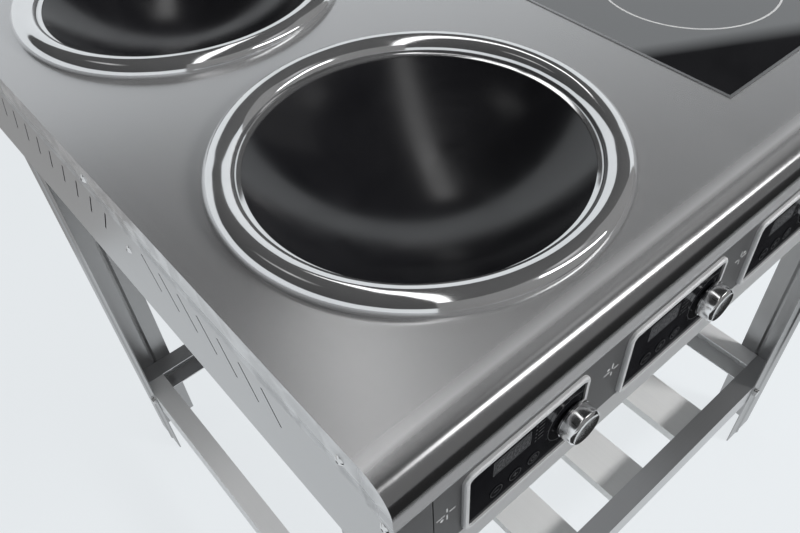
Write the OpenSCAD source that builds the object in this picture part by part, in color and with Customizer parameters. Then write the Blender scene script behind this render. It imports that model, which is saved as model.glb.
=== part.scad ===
// Four-zone induction range on an open stand: two wok wells on the left,
// a flat glass hob on the right and one control panel for each zone.
// Millimetres, +Z up, front towards -Y. The origin is on the floor, under the
// middle of the overall width and depth, knobs included.

/* [Cabinet] */
// Width over the worktop skirts
cabinet_w = 850; // [820:10:1000]
// Depth from the rolled front edge to the rear skirt
cabinet_d = 860; // [840:10:1000]
// Height of the worktop above the floor
worktop_z = 870; // [800:10:950]
// Height of the cabinet, worktop to underside
cabinet_h = 170; // [165:5:220]
// Outer radius of the rolled front edge
nose_r = 28; // [20:1:34]
// Height of the rolled front edge, worktop to fascia
nose_h = 45; // [40:1:48]
// Height of the worktop's side and rear skirts
skirt_h = 39; // [30:1:44]
// Thickness of the worktop sheet
top_t = 2; // [1.5:0.5:3]
// Thickness of the cabinet panels
panel_t = 1.5; // [1:0.5:2]

/* [Wok wells] */
// Distance of the wells' centres from the left side
well_x = 225; // [200:5:240]
// Distance of the front well's centre from the front edge
well_front = 230; // [215:5:250]
// Distance between the two wells' centres
well_pitch = 413; // [390:1:440]
// Radius of the ring's crest
ring_crest_r = 171; // [160:1:180]
// Radius of the ring's rolled bead
bead_r = 14.5; // [10:0.5:18]
// Radius of the visible glass inside the ring
well_r = 145; // [130:1:150]
// Inner radius of the glass bowl's sphere
bowl_r = 190; // [170:5:230]
// Thickness of the bowl glass
bowl_t = 5; // [4:0.5:6]

/* [Glass hob] */
// Width of the hob glass
hob_w = 301; // [260:1:320]
// Length of the hob glass, front to back
hob_l = 685; // [640:5:720]
// Distance of the hob's centre line from the right side
hob_x = 212.5; // [190:2.5:230]
// Distance of the glass's front edge from the front of the worktop
hob_front = 94; // [80:1:110]
// Thickness of the hob glass
hob_t = 4; // [3:0.5:6]
// Distance between the two flat zones' centres
zone_pitch = 381; // [350:1:410]
// Radius of a flat zone
zone_r = 99; // [85:1:110]

/* [Control panels] */
// Number of control panels
panel_count = 4; // [4]
// Distance from one panel to the next
panel_pitch = 178.1; // [170:0.1:185]
// Distance of the first panel's glass from the left side
panel_x = 65.7; // [60:0.1:80]
// Width of a panel's black glass
glass_w = 122; // [118:1:126]
// Height of a panel's black glass
glass_h = 72; // [68:1:74]
// Width of the bezel's rim round the glass
bezel_rim = 4.5; // [3:0.5:5]
// How far the bezel stands out of the fascia
bezel_proud = 3.5; // [2:0.5:5]
// Diameter of a knob
knob_d = 37; // [30:1:40]
// Length of a knob
knob_l = 15; // [12:1:20]
// Diameter of a button
button_d = 14; // [11:1:15]
// Travel of a button
button_travel = 0.8; // [0.4:0.1:1.2]

/* [Stand] */
// Distance of the legs from the worktop's sides
leg_side = 8.5; // [4:0.5:20]
// Distance of the front legs from the front edge
leg_front = 26; // [20:1:60]
// Distance of the rear legs from the rear edge
leg_rear = 86; // [40:1:100]
// Width of a leg's flanges
leg_w = 66; // [50:1:80]
// Thickness of the stand's steel
stand_t = 2; // [1.5:0.5:3]
// Height of the lower rails' top
rail_z = 175; // [140:5:300]
// Height of a rail
rail_h = 50; // [40:1:60]
// Width of a rail's flanges
rail_w = 32; // [25:1:40]
// Number of shelf slats
slat_count = 4; // [2:1:5]
// Width of a shelf slat
slat_w = 76; // [50:1:90]
// Depth of a shelf slat's folded sides
slat_h = 18; // [10:1:25]
// Distance from one slat to the next
slat_pitch = 162; // [130:1:170]

/* [Hidden] */

// Rounding of curves, and the overrun that cuts share
$fn = 96;
cut = 1;

// Colours
steel = [0.62, 0.63, 0.64];
light_steel = [0.74, 0.74, 0.75];
dark_steel = [0.30, 0.31, 0.32];
mirror_steel = [0.80, 0.81, 0.82];
black_glass = [0.05, 0.05, 0.06];
grey_plastic = [0.72, 0.72, 0.72];
black_plastic = [0.12, 0.12, 0.13];
copper = [0.72, 0.42, 0.22];
board_green = [0.10, 0.35, 0.20];

// Extent of the cabinet
bezel_gap = 0.5;
fascia_set = 2;
knob_out = bezel_proud + bezel_gap + knob_l - fascia_set;
front_y = -(cabinet_d + knob_out) / 2 + knob_out;
rear_y = front_y + cabinet_d;
left_x = -cabinet_w / 2;
under_z = worktop_z - cabinet_h;
shell_x = cabinet_w / 2 - top_t;
inner_x = shell_x - panel_t;
nose_y = front_y + nose_r;
nose_z = worktop_z - nose_r;
fascia_y = front_y + fascia_set;
fascia_top = worktop_z - nose_h;
floor_z = under_z + panel_t;

// Wells and hob
well_cx = left_x + well_x;
well_y = [front_y + well_front, front_y + well_front + well_pitch];
hob_cx = -left_x - hob_x;
hob_cy = front_y + hob_front + hob_l / 2;
zone_y = [hob_cy - zone_pitch / 2, hob_cy + zone_pitch / 2];

// Rings: a rolled bead, a lip that slopes in to the glass, and a spigot
ring_t = 1.5;
lip_top = 3;
lip_root = 5.8;
spigot_h = 12;
bead_in = ring_crest_r - sqrt(pow(bead_r, 2) - pow(lip_root, 2));
seal_w = 3;
bowl_rim = well_r + bowl_t;
hole_r = bowl_rim + seal_w + ring_t;
seal_h = 8;

// Bowls and coils
bowl_drop = sqrt(pow(bowl_r, 2) - pow(well_r, 2));
bowl_top = worktop_z + lip_top - ring_t;
bowl_cz = bowl_top + bowl_drop;
bowl_bottom = bowl_cz - bowl_r - bowl_t;
coil_gap = 3;
coil_h = 7;
coil_in_r = 30;
coil_out_r = 118;
carrier_t = 5;
post_d = 10;
post_in = 12;
hob_coil_h = 7;
hob_coil_gap = 2;
hob_coil_in = 22;
hob_coil_turn = 5;
ferrite_count = 8;
ferrite_w = 14;
ferrite_t = 5;
ferrite_in = 6;

// Hob trim and its ledge
trim_t = 1.5;
trim_w = 3;
trim_up = 0.8;
ledge_w = 10;
hob_gap = 0.5;
hob_proud = 0.4;

// Panel layout, from the glass's left edge and its middle
panel_z = worktop_z - 95.5;
knob_x = 108.5;
button_x = 29;
button_pitch = 20.2;
button_drop = 17.5;
bezel_r = 10;
glass_r = 5;
bezel_round = 1.2;
bezel_wall = 2;
bezel_ledge = 2;
glass_t = 3;
glass_set = 1.6;
glass_fit = 0.15;
button_gap = 0.4;
button_proud = 0.6;
collar_w = 2;
collar_t = 1.2;
stem_d = 4;
spindle_d = 6;
spindle_gap = 0.05;
spindle_hole = 7;
knob_edge = 1.2;
glass_front = fascia_y - bezel_proud + glass_set;
glass_back = glass_front + glass_t;

// Control boards behind the panels
board_t = 1.6;
board_back = 14;
board_w = 112;
board_h = 60;
board_y = glass_back + board_back;
board_post_d = 6;
board_post_in = 5;
display_w = 40;
display_h = 18;
display_x = 25;
display_up = 9;
encoder_w = 14;
encoder_l = 7;
bush_d = 9;
spindle_end_gap = 0.6;
switch_w = 6;
switch_h = 5;
press_gap = 0.4;
display_t = 8;

// Side slots: two groups that lean apart
slot_w = 2.6;
slot_h = 34;
slot_top = 58;
slot_pitch = 31.5;
slot_front_first = 156;
slot_front_count = 7;
slot_front_lean = -16;
slot_rear_first = 417;
slot_rear_count = 9;
slot_rear_lean = 23;

// Side screws: three in the skirt, three in the panel
screw_in = 52;
screw_drop = 21;
low_screw_in = 13;
low_screw_drop = 60.5;
mid_screw_in = 384;
mid_screw_drop = 79;
head_d = 9;
head_h = 2.4;
head_r = 5.5;
screw_d = 5;
screw_l = 9;
screw_gap = 0.25;
key_af = 3;
key_depth = 1.3;

// Fascia and its ends
fascia_end_w = 32;
fascia_seam = 1;
fascia_bottom = worktop_z - 135.5;
fascia_lap = 12;
lip_fold = 24;

// Rear panel slots
vent_w = 4;
vent_h = 60;
vent_pitch = 16;
vent_count = 17;
vent_drop = 62;

// Fans and their grilles in the bottom pan
fan_w = 80;
fan_h = 25;
fan_wall = 2;
fan_tip_gap = 1;
fan_hub_d = 32;
fan_shaft_d = 4;
fan_base = 4;
fan_blades = 7;
blade_t = 1.6;
blade_pitch = 38;
strut_w = 5;
strut_count = 4;
fan_lift = 1;
fan_top = 0.6;
blade_w = 24;
fan_x = (well_cx + hob_cx) / 2;
fan_y = well_y;
grille_w = 5;
grille_l = 56;
grille_pitch = 10;
grille_count = 6;
pan_fold = 15;

// Generator modules, one under each zone, between its carrier's posts
module_w = 150;
module_d = 240;
module_t = 2;
module_foot = 12;
module_foot_d = 8;
module_foot_in = 8;
sink_w = 84;
sink_d = 120;
sink_h = 38;
fin_t = 2;
fin_pitch = 8;
sink_base = 5;
cap_d = 34;
cap_h = 46;
choke_w = 60;
choke_d = 50;
choke_h = 34;
module_edge = 8;

// Mains entry
block_w = 80;
block_d = 34;
block_h = 30;
block_poles = 5;
block_slot_w = 9;
block_slot_depth = 12;
block_x = 190;
block_in = 60;
gland_nut = 36;
gland_nut_h = 8;
gland_cap_d = 30;
gland_h = 22;
gland_bore = 18;
gland_thread = 24;
gland_x = 300;
gland_in = 70;

// Legs, rails and bolts
leg_crease_at = 36;
crease_w = 8;
crease_h = 2;
leg_lip = 12;
foot_plate_w = 70;
foot_plate_t = 3;
leg_out_x = cabinet_w / 2 - leg_side;
leg_front_y = front_y + leg_front;
leg_rear_y = rear_y - leg_rear;
leg_top = under_z - foot_plate_t;
fit = 0.3;
slat_t = 1.5;
bolt_d = 8;
bolt_gap = 0.3;
bolt_head_d = 15;
bolt_head_h = 5.5;
bolt_in = 53;
foot_bolt_in = [22, 48];
nut_h = 6.5;
bolt_tail = 4;

// Flat shapes

// Rectangle with round corners, from the middle
module round_box(w, h, r) {
    square([w - 2 * r, h], center = true);
    square([w, h - 2 * r], center = true);
    for (sx = [-1, 1], sy = [-1, 1])
        translate([sx * (w / 2 - r), sy * (h / 2 - r)]) circle(r = r);
}

// Side outline of the worktop, drawn in by inset, down to low
module worktop_outline(inset, low) {
    translate([nose_y, low]) square([rear_y - inset - nose_y, worktop_z - inset - low]);
    translate([front_y + inset, low]) square([nose_r, nose_z - low]);
    intersection() {
        translate([nose_y, nose_z]) circle(r = nose_r - inset);
        translate([front_y, low]) square([2 * nose_r, worktop_z - low]);
    }
}

// Draws a side outline, Y and Z, as a slab from x = from_x that is w wide
module slab_x(from_x, w) {
    translate([from_x, 0, 0]) rotate([90, 0, 90]) linear_extrude(w) children();
}

// Draws a front outline, X and Z, as a slab from y = from_y that is d deep
module slab_y(from_y, d) {
    translate([0, from_y + d, 0]) rotate([90, 0, 0]) linear_extrude(d) children();
}

// Both sides of the cabinet, the right one mirrored
module on_side(side) {
    mirror([side > 0 ? 1 : 0, 0, 0]) children();
}

function panel_left(i) = left_x + panel_x + i * panel_pitch;
function knob_cx(i) = panel_left(i) + knob_x;
function button_cx(i, j) = panel_left(i) + button_x + j * button_pitch;

// Outline of a panel's glass, grown by wall
module bezel_outline(wall) {
    round_box(glass_w + 2 * wall, glass_h + 2 * wall, glass_r + wall);
}

// Places children on a panel's centre line, in front of the fascia's plane
module at_panel(i) {
    translate([panel_left(i) + glass_w / 2, 0, panel_z]) children();
}

// Turns a child's +Z to point into the cabinet
module inward(x, y, z) {
    translate([x, y, z]) rotate([-90, 0, 0]) children();
}

// Worktop and cabinet

module top_plate() {
    color(steel) difference() {
        slab_x(left_x, cabinet_w) worktop_outline(0, fascia_top);
        slab_x(left_x + top_t, cabinet_w - 2 * top_t) worktop_outline(top_t, fascia_top - cut);
        translate([left_x - cut, nose_y, fascia_top - cut])
            cube([cabinet_w + 2 * cut, cabinet_d, cut + nose_h - skirt_h]);
        for (y = well_y) translate([well_cx, y, worktop_z - top_t - cut])
            cylinder(r = hole_r, h = top_t + 2 * cut);
        translate([hob_cx, hob_cy, worktop_z - top_t / 2])
            cube([hob_w + 2 * hob_gap + 2 * trim_t, hob_l + 2 * hob_gap + 2 * trim_t, top_t + 2 * cut], center = true);
        screw_holes(top_t + panel_t);
    }
}

// Places of the side screws: distance from the front edge, and drop
screw_places = [
    [screw_in, screw_drop],
    [cabinet_d / 2, screw_drop],
    [cabinet_d - screw_in, screw_drop],
    [low_screw_in, low_screw_drop],
    [mid_screw_in, mid_screw_drop],
    [cabinet_d - low_screw_in, low_screw_drop]
];

module at_screws() {
    for (side = [-1, 1], p = screw_places)
        on_side(side) translate([left_x + (p[1] > skirt_h ? top_t : 0), front_y + p[0], worktop_z - p[1]])
            rotate([0, 90, 0]) children();
}

module screw_holes(depth) {
    at_screws() translate([0, 0, -cut]) cylinder(d = screw_d + 2 * screw_gap, h = depth + 2 * cut);
}

module slot(lean) {
    slab_x(-cut, panel_t + 2 * cut)
        polygon([
            [0, 0], [slot_w, 0],
            [slot_w + lean, -slot_h], [lean, -slot_h]
        ]);
    for (end = [0, 1]) translate([-cut, slot_w / 2 + end * lean, -end * slot_h])
        rotate([0, 90, 0]) cylinder(d = slot_w, h = panel_t + 2 * cut);
}

module side_panel(side) {
    color(light_steel) on_side(side) difference() {
        slab_x(-shell_x, panel_t) difference() {
            worktop_outline(top_t, under_z);
            translate([front_y, under_z - cut]) square([fascia_set, fascia_top - under_z + cut]);
        }
        for (i = [0:slot_front_count - 1])
            translate([-shell_x, front_y + slot_front_first + i * slot_pitch, worktop_z - slot_top])
                slot(slot_front_lean);
        for (i = [0:slot_rear_count - 1])
            translate([-shell_x, front_y + slot_rear_first + i * slot_pitch, worktop_z - slot_top])
                slot(slot_rear_lean);
        screw_holes(top_t + panel_t);
    }
}

module rear_panel() {
    color(steel) difference() {
        slab_y(rear_y - top_t - panel_t, panel_t)
            translate([-inner_x, floor_z]) square([2 * inner_x, worktop_z - top_t - floor_z]);
        for (i = [0:vent_count - 1])
            translate([(i - (vent_count - 1) / 2) * vent_pitch, rear_y - top_t - panel_t / 2, worktop_z - vent_drop - vent_h / 2])
                cube([vent_w, panel_t + 2 * cut, vent_h], center = true);
    }
}

module bottom_pan() {
    pan_front = fascia_y + panel_t;
    pan_d = rear_y - top_t - pan_front;
    color(steel) difference() {
        union() {
            translate([-inner_x, pan_front, under_z]) cube([2 * inner_x, pan_d, panel_t]);
            for (side = [-1, 1]) on_side(side)
                translate([-inner_x, pan_front + lip_fold, under_z])
                    cube([panel_t, pan_d - lip_fold - panel_t, pan_fold]);
        }
        for (y = fan_y, i = [0:grille_count - 1])
            translate([fan_x, y + (i - (grille_count - 1) / 2) * grille_pitch, under_z + panel_t / 2])
                cube([grille_l, grille_w, panel_t + 2 * cut], center = true);
        translate([gland_x, rear_y - gland_in, under_z - cut]) cylinder(d = gland_thread, h = panel_t + 2 * cut);
        at_foot_bolts() cylinder(d = bolt_d + 2 * bolt_gap, h = foot_plate_t + panel_t + 2 * cut);
    }
}

module fascia_plate() {
    w = 2 * (shell_x - fascia_end_w - fascia_seam);
    color(dark_steel) difference() {
        slab_y(fascia_y, panel_t)
            translate([-w / 2, fascia_bottom]) square([w, fascia_top - fascia_bottom + fascia_lap]);
        for (i = [0:panel_count - 1])
            slab_y(fascia_y - cut, panel_t + 2 * cut)
                translate([panel_left(i) + glass_w / 2, panel_z]) bezel_outline(bezel_wall);
    }
}

module fascia_end(side) {
    color(dark_steel) on_side(side)
        slab_y(fascia_y, panel_t)
            translate([-shell_x + panel_t, fascia_bottom]) square([fascia_end_w - panel_t, fascia_top - fascia_bottom + fascia_lap]);
}

module front_lip() {
    color(light_steel) {
        slab_y(fascia_y, panel_t)
            translate([-inner_x, floor_z]) square([2 * inner_x, fascia_bottom - floor_z]);
        translate([-inner_x, fascia_y + panel_t, floor_z]) cube([2 * inner_x, lip_fold, panel_t]);
    }
}

// Wok wells

module ring_section() {
    difference() {
        translate([ring_crest_r, 0]) circle(r = bead_r);
        translate([ring_crest_r, 0]) circle(r = bead_r - ring_t);
        translate([0, -2 * bead_r]) square([2 * ring_crest_r, 2 * bead_r]);
    }
    polygon([
        [well_r, lip_top - ring_t], [hole_r - ring_t, lip_top - ring_t],
        [bead_in + ring_t, lip_root - ring_t], [bead_in + ring_t / 2, lip_root + ring_t / 2],
        [bead_in, lip_root], [well_r, lip_top]
    ]);
    translate([hole_r - ring_t, -spigot_h]) square([ring_t, spigot_h + lip_top - ring_t / 2]);
}

module wok_ring(i) {
    color(mirror_steel) translate([well_cx, well_y[i], worktop_z]) rotate_extrude() ring_section();
}

module bowl_section(r) {
    intersection() {
        translate([0, bowl_cz]) circle(r = r);
        translate([0, bowl_cz - r - cut]) square([r, bowl_top - bowl_cz + r + cut]);
    }
}

module wok_bowl(i) {
    color(black_glass) translate([well_cx, well_y[i], 0]) rotate_extrude() intersection() {
        difference() {
            bowl_section(bowl_r + bowl_t);
            bowl_section(bowl_r);
        }
        translate([0, bowl_bottom - cut]) square([bowl_rim, bowl_top - bowl_bottom + cut]);
    }
}

module bowl_seals() {
    color(black_plastic) for (y = well_y) translate([well_cx, y, bowl_top - seal_h]) difference() {
        cylinder(r = hole_r - ring_t, h = seal_h);
        translate([0, 0, -cut]) cylinder(r = bowl_rim, h = seal_h + 2 * cut);
    }
}

// Coils follow the bowls, and sit in carriers on posts from the pan
coil_r = bowl_r + bowl_t + coil_gap;
carrier_r = coil_out_r + carrier_t;

module sphere_band(r_in, r_out, in_r, out_r) {
    rotate_extrude() intersection() {
        difference() {
            translate([0, bowl_cz]) circle(r = r_out);
            translate([0, bowl_cz]) circle(r = r_in);
        }
        translate([in_r, bowl_cz - r_out - cut]) square([out_r - in_r, r_out + cut]);
    }
}

module wok_coils() {
    color(copper) for (y = well_y) translate([well_cx, y, 0])
        sphere_band(coil_r, coil_r + coil_h, coil_in_r, coil_out_r);
}

module wok_coil_carriers() {
    post_top = bowl_cz - sqrt(pow(coil_r + coil_h, 2) - pow(carrier_r - post_in, 2));
    color(black_plastic) for (y = well_y) translate([well_cx, y, 0]) {
        sphere_band(coil_r + coil_h, coil_r + coil_h + carrier_t, coil_in_r, carrier_r);
        difference() {
            for (side = [-1, 1]) translate([side * (carrier_r - post_in), 0, floor_z])
                cylinder(d = post_d, h = post_top - floor_z);
            translate([0, 0, bowl_cz]) sphere(r = coil_r + coil_h + carrier_t / 2);
        }
    }
}

// Flat glass hob

glass_top = worktop_z + hob_proud;

module hob_glass() {
    color(black_glass) translate([hob_cx - hob_w / 2, hob_cy - hob_l / 2, glass_top - hob_t])
        cube([hob_w, hob_l, hob_t]);
}

module hob_trim() {
    frame_w = hob_w + 2 * hob_gap;
    frame_l = hob_l + 2 * hob_gap;
    ledge_z = glass_top - hob_t - trim_t;
    color(light_steel) translate([hob_cx, hob_cy, 0]) difference() {
        union() {
            translate([0, 0, worktop_z]) linear_extrude(trim_up)
                square([frame_w + 2 * trim_w, frame_l + 2 * trim_w], center = true);
            translate([0, 0, ledge_z]) linear_extrude(worktop_z + trim_up - ledge_z)
                square([frame_w + 2 * trim_t, frame_l + 2 * trim_t], center = true);
        }
        translate([0, 0, ledge_z + trim_t]) linear_extrude(hob_t + trim_up + cut)
            square([frame_w, frame_l], center = true);
        translate([0, 0, ledge_z - cut]) linear_extrude(trim_t + 2 * cut)
            square([frame_w - 2 * ledge_w, frame_l - 2 * ledge_w], center = true);
    }
}

hob_coil_top = glass_top - hob_t - hob_coil_gap;

module hob_coils() {
    color(copper) for (y = zone_y) translate([hob_cx, y, hob_coil_top - hob_coil_h]) difference() {
        cylinder(r = zone_r - hob_coil_turn, h = hob_coil_h);
        translate([0, 0, -cut]) cylinder(r = hob_coil_in, h = hob_coil_h + 2 * cut);
    }
}

module hob_coil_carriers() {
    disc_z = hob_coil_top - hob_coil_h - carrier_t;
    color(black_plastic) for (y = zone_y) translate([hob_cx, y, 0]) {
        difference() {
            union() {
                translate([0, 0, disc_z]) cylinder(r = zone_r, h = carrier_t);
                for (i = [0:ferrite_count - 1]) rotate(i * 360 / ferrite_count)
                    translate([hob_coil_in, -ferrite_w / 2, disc_z - ferrite_t])
                        cube([zone_r - hob_coil_in - ferrite_in, ferrite_w, ferrite_t + carrier_t / 2]);
                for (side = [-1, 1]) translate([side * (zone_r - post_in), 0, floor_z])
                    cylinder(d = post_d, h = disc_z + carrier_t / 2 - floor_z);
            }
            translate([0, 0, disc_z - ferrite_t - cut]) cylinder(r = hob_coil_in / 2, h = carrier_t + ferrite_t + 2 * cut);
        }
    }
}

// Control panels

module panel_bezels() {
    bezel_front = fascia_y - bezel_proud;
    ledge_back = glass_back + bezel_ledge;
    color(grey_plastic) for (i = [0:panel_count - 1]) at_panel(i) difference() {
        union() {
            hull() {
                slab_y(bezel_front + bezel_round, bezel_proud - bezel_round)
                    bezel_outline(bezel_rim, $fn = 32);
                slab_y(bezel_front, bezel_round)
                    bezel_outline(bezel_rim - bezel_round, $fn = 32);
            }
            slab_y(fascia_y - bezel_round, ledge_back - fascia_y + bezel_round) bezel_outline(bezel_wall);
        }
        slab_y(bezel_front - cut, glass_back - bezel_front + cut) bezel_outline(0);
        slab_y(bezel_front, ledge_back - bezel_front + cut) bezel_outline(-bezel_ledge);
    }
}

module panel_glass(i) {
    color(black_glass) difference() {
        at_panel(i) slab_y(glass_front, glass_t) bezel_outline(-glass_fit);
        inward(knob_cx(i), glass_front - cut, panel_z) cylinder(d = spindle_hole, h = glass_t + 2 * cut);
        for (j = [0:2]) inward(button_cx(i, j), glass_front - cut, panel_z - button_drop)
            cylinder(d = button_d + 2 * button_gap, h = glass_t + 2 * cut);
    }
}

// A turned knob with a chamfered rim, on its spindle
module knob(i) {
    back_y = fascia_y - bezel_proud - bezel_gap;
    color(mirror_steel) inward(knob_cx(i), back_y - knob_l, panel_z) {
        rotate_extrude() polygon([
            [0, 0], [knob_d / 2 - knob_edge, 0], [knob_d / 2, knob_edge],
            [knob_d / 2, knob_l], [0, knob_l]
        ]);
        translate([0, 0, knob_l - cut])
            cylinder(d = spindle_d, h = board_y - spindle_end_gap - back_y + cut);
    }
}

// A button's cap, the collar that keeps it in, and the stem over its switch
module button(i, j) {
    collar_at = button_proud + glass_t + button_gap;
    stem_end = button_proud + board_y - glass_front - switch_h - press_gap - button_travel;
    color(grey_plastic) inward(button_cx(i, j), glass_front - button_proud, panel_z - button_drop) {
        cylinder(d = button_d, h = collar_at);
        translate([0, 0, collar_at]) cylinder(d = button_d + 2 * collar_w, h = collar_t);
        cylinder(d = stem_d, h = stem_end);
    }
}

module control_boards() {
    post_x = board_w / 2 - board_post_in;
    post_z = board_h / 2 - board_post_in;
    color(board_green) for (i = [0:panel_count - 1]) difference() {
        union() {
            at_panel(i) {
                slab_y(board_y, board_t) square([board_w, board_h], center = true);
                for (sx = [-1, 1], sz = [-1, 1]) inward(sx * post_x, glass_back, sz * post_z)
                    cylinder(d = board_post_d, h = board_back + board_t / 2);
            }
            slab_y(board_y - display_t, display_t + board_t / 2)
                translate([panel_left(i) + display_x, panel_z + display_up]) square([display_w, display_h]);
            slab_y(board_y - encoder_l, encoder_l + board_t / 2)
                translate([knob_cx(i), panel_z]) square(encoder_w, center = true);
            inward(knob_cx(i), glass_back, panel_z) cylinder(d = bush_d, h = board_back);
            for (j = [0:2]) slab_y(board_y - switch_h, switch_h + board_t / 2)
                translate([button_cx(i, j), panel_z - button_drop]) square(switch_w, center = true);
        }
        inward(knob_cx(i), glass_back - cut, panel_z) cylinder(d = spindle_d + 2 * spindle_gap, h = board_back + cut);
    }
}

// Power electronics and cooling

module at_zones() {
    for (y = well_y) translate([well_cx, y, floor_z]) children();
    for (y = zone_y) translate([hob_cx, y, floor_z]) children();
}

module heat_sink() {
    fins = floor((sink_w - fin_t) / fin_pitch);
    first = (sink_w - fins * fin_pitch - fin_t) / 2;
    cube([sink_w, sink_d, sink_base]);
    for (i = [0:fins]) translate([first + i * fin_pitch, 0, 0]) cube([fin_t, sink_d, sink_h]);
}

module generator_modules() {
    foot_x = module_w / 2 - module_foot_in;
    foot_y = module_d / 2 - module_foot_in;
    color(board_green) at_zones() {
        translate([-module_w / 2, -module_d / 2, module_foot]) cube([module_w, module_d, module_t]);
        for (sx = [-1, 1], sy = [-1, 1]) translate([sx * foot_x, sy * foot_y, 0])
            cylinder(d = module_foot_d, h = module_foot + module_t / 2);
        translate([-module_w / 2 + module_edge, -module_d / 2 + module_edge, module_foot + module_t / 2]) heat_sink();
        for (k = [0, 1])
            translate([module_w / 2 - module_edge - cap_d / 2, -module_d / 2 + module_edge + (k + 1 / 2) * (cap_d + module_edge), module_foot + module_t / 2])
                cylinder(d = cap_d, h = cap_h);
        translate([-module_w / 2 + module_edge, module_d / 2 - module_edge - choke_d, module_foot + module_t / 2])
            cube([choke_w, choke_d, choke_h]);
    }
}

fan_bore_r = fan_w / 2 - fan_wall;

module fan_frames() {
    color(black_plastic) for (y = fan_y) translate([fan_x, y, floor_z]) difference() {
        union() {
            difference() {
                translate([-fan_w / 2, -fan_w / 2, 0]) cube([fan_w, fan_w, fan_h]);
                translate([0, 0, -cut]) cylinder(r = fan_bore_r, h = fan_h + 2 * cut);
            }
            cylinder(d = fan_hub_d, h = fan_base);
            for (i = [0:strut_count - 1]) rotate(i * 360 / strut_count)
                translate([0, -strut_w / 2, 0]) cube([fan_bore_r + fan_wall / 2, strut_w, fan_base]);
        }
        translate([0, 0, -cut]) cylinder(d = fan_shaft_d + 2 * spindle_gap, h = fan_base + 2 * cut);
    }
}

// A fan's hub with tilted blades, on the shaft that runs in its frame
module fan_rotor(i) {
    low = fan_base + fan_lift;
    high = fan_h - fan_top;
    color(grey_plastic) translate([fan_x, fan_y[i], floor_z]) {
        translate([0, 0, low]) cylinder(d = fan_hub_d, h = high - low);
        translate([0, 0, fan_top]) cylinder(d = fan_shaft_d, h = low);
        intersection() {
            translate([0, 0, low]) cylinder(r = fan_bore_r - fan_tip_gap, h = high - low);
            for (k = [0:fan_blades - 1]) rotate(k * 360 / fan_blades)
                translate([0, 0, (low + high) / 2]) rotate([blade_pitch, 0, 0])
                    translate([fan_hub_d / 2 - blade_t, -blade_w / 2, -blade_t / 2])
                        cube([fan_bore_r, blade_w, blade_t]);
        }
    }
}

module terminal_block() {
    bay = block_w / block_poles;
    color(grey_plastic) translate([block_x, rear_y - block_in - block_d, floor_z]) difference() {
        cube([block_w, block_d, block_h]);
        for (i = [0:block_poles - 1])
            translate([(i + 1 / 2) * bay - block_slot_w / 2, -cut, block_h - block_slot_depth])
                cube([block_slot_w, block_d + 2 * cut, block_slot_depth + cut]);
    }
}

module cable_gland() {
    color(black_plastic) translate([gland_x, rear_y - gland_in, under_z]) difference() {
        union() {
            translate([0, 0, -gland_nut_h]) cylinder(d = gland_nut, h = gland_nut_h, $fn = 6);
            translate([0, 0, -gland_h]) cylinder(d = gland_cap_d, h = gland_h);
            cylinder(d = gland_thread, h = panel_t + gland_nut_h);
            translate([0, 0, panel_t]) cylinder(d = gland_nut, h = gland_nut_h - panel_t, $fn = 6);
        }
        translate([0, 0, -gland_h - cut]) cylinder(d = gland_bore, h = gland_h + panel_t + gland_nut_h + 2 * cut);
    }
}

// Button-head screws with a hexagon socket
module side_screws() {
    color(mirror_steel) at_screws() difference() {
        union() {
            intersection() {
                translate([0, 0, head_r - head_h]) sphere(r = head_r);
                translate([0, 0, -head_h]) cylinder(d = head_d, h = head_h);
            }
            cylinder(d = screw_d, h = screw_l);
        }
        translate([0, 0, -head_h - cut]) cylinder(d = key_af, h = key_depth + cut, $fn = 6);
    }
}

// Stand

// Calls children at each leg, with +X and +Y pointing in from its corner
module at_leg(side, rear) {
    translate([side * leg_out_x, rear ? leg_rear_y : leg_front_y, 0])
        mirror([side > 0 ? 1 : 0, 0, 0]) mirror([0, rear ? 1 : 0, 0]) children();
}

module at_legs() {
    for (side = [-1, 1], rear = [false, true]) at_leg(side, rear) children();
}

module at_foot_bolts() {
    at_legs() for (d = foot_bolt_in) translate([d, d, leg_top - cut]) children();
}

// One flange's points, out along X from the corner, with a rib that stands out
leg_flange = [
    [leg_crease_at - crease_w / 2, 0], [leg_crease_at, -crease_h], [leg_crease_at + crease_w / 2, 0],
    [leg_w, 0], [leg_w, stand_t],
    [leg_crease_at + crease_w / 2, stand_t], [leg_crease_at, stand_t - crease_h],
    [leg_crease_at - crease_w / 2, stand_t]
];
function swapped(points) = [for (k = [len(points) - 1:-1:0]) [points[k][1], points[k][0]]];

module leg(side, rear) {
    color(steel) at_leg(side, rear) difference() {
        union() {
            linear_extrude(leg_top)
                polygon(concat([[0, 0]], leg_flange, [[stand_t, stand_t]], swapped(leg_flange)));
            translate([0, 0, leg_top]) cube([foot_plate_w, foot_plate_w, foot_plate_t]);
        }
        for (d = foot_bolt_in) translate([d, d, leg_top - cut])
            cylinder(d = bolt_d + 2 * bolt_gap, h = foot_plate_t + 2 * cut);
        rail_bolt_holes();
    }
}

rail_mid = rail_z - rail_h / 2;

// Holes for the two rail bolts of a leg, seen from its corner
module rail_bolt_holes() {
    at_rail_bolts() translate([0, 0, -bolt_head_h]) cylinder(d = bolt_d + 2 * bolt_gap, h = rail_w);
}

module at_rail_bolts() {
    translate([bolt_in, 0, rail_mid]) rotate([-90, 0, 0]) children();
    translate([0, bolt_in, rail_mid]) rotate([0, 90, 0]) children();
}

// Channel along X with its web on y = 0 and its flanges towards +Y
module rail(length) {
    translate([-length / 2, 0, 0]) difference() {
        translate([0, 0, rail_z - rail_h]) cube([length, rail_w, rail_h]);
        translate([-cut, stand_t, rail_z - rail_h + stand_t])
            cube([length + 2 * cut, rail_w, rail_h - 2 * stand_t]);
    }
}

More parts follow.
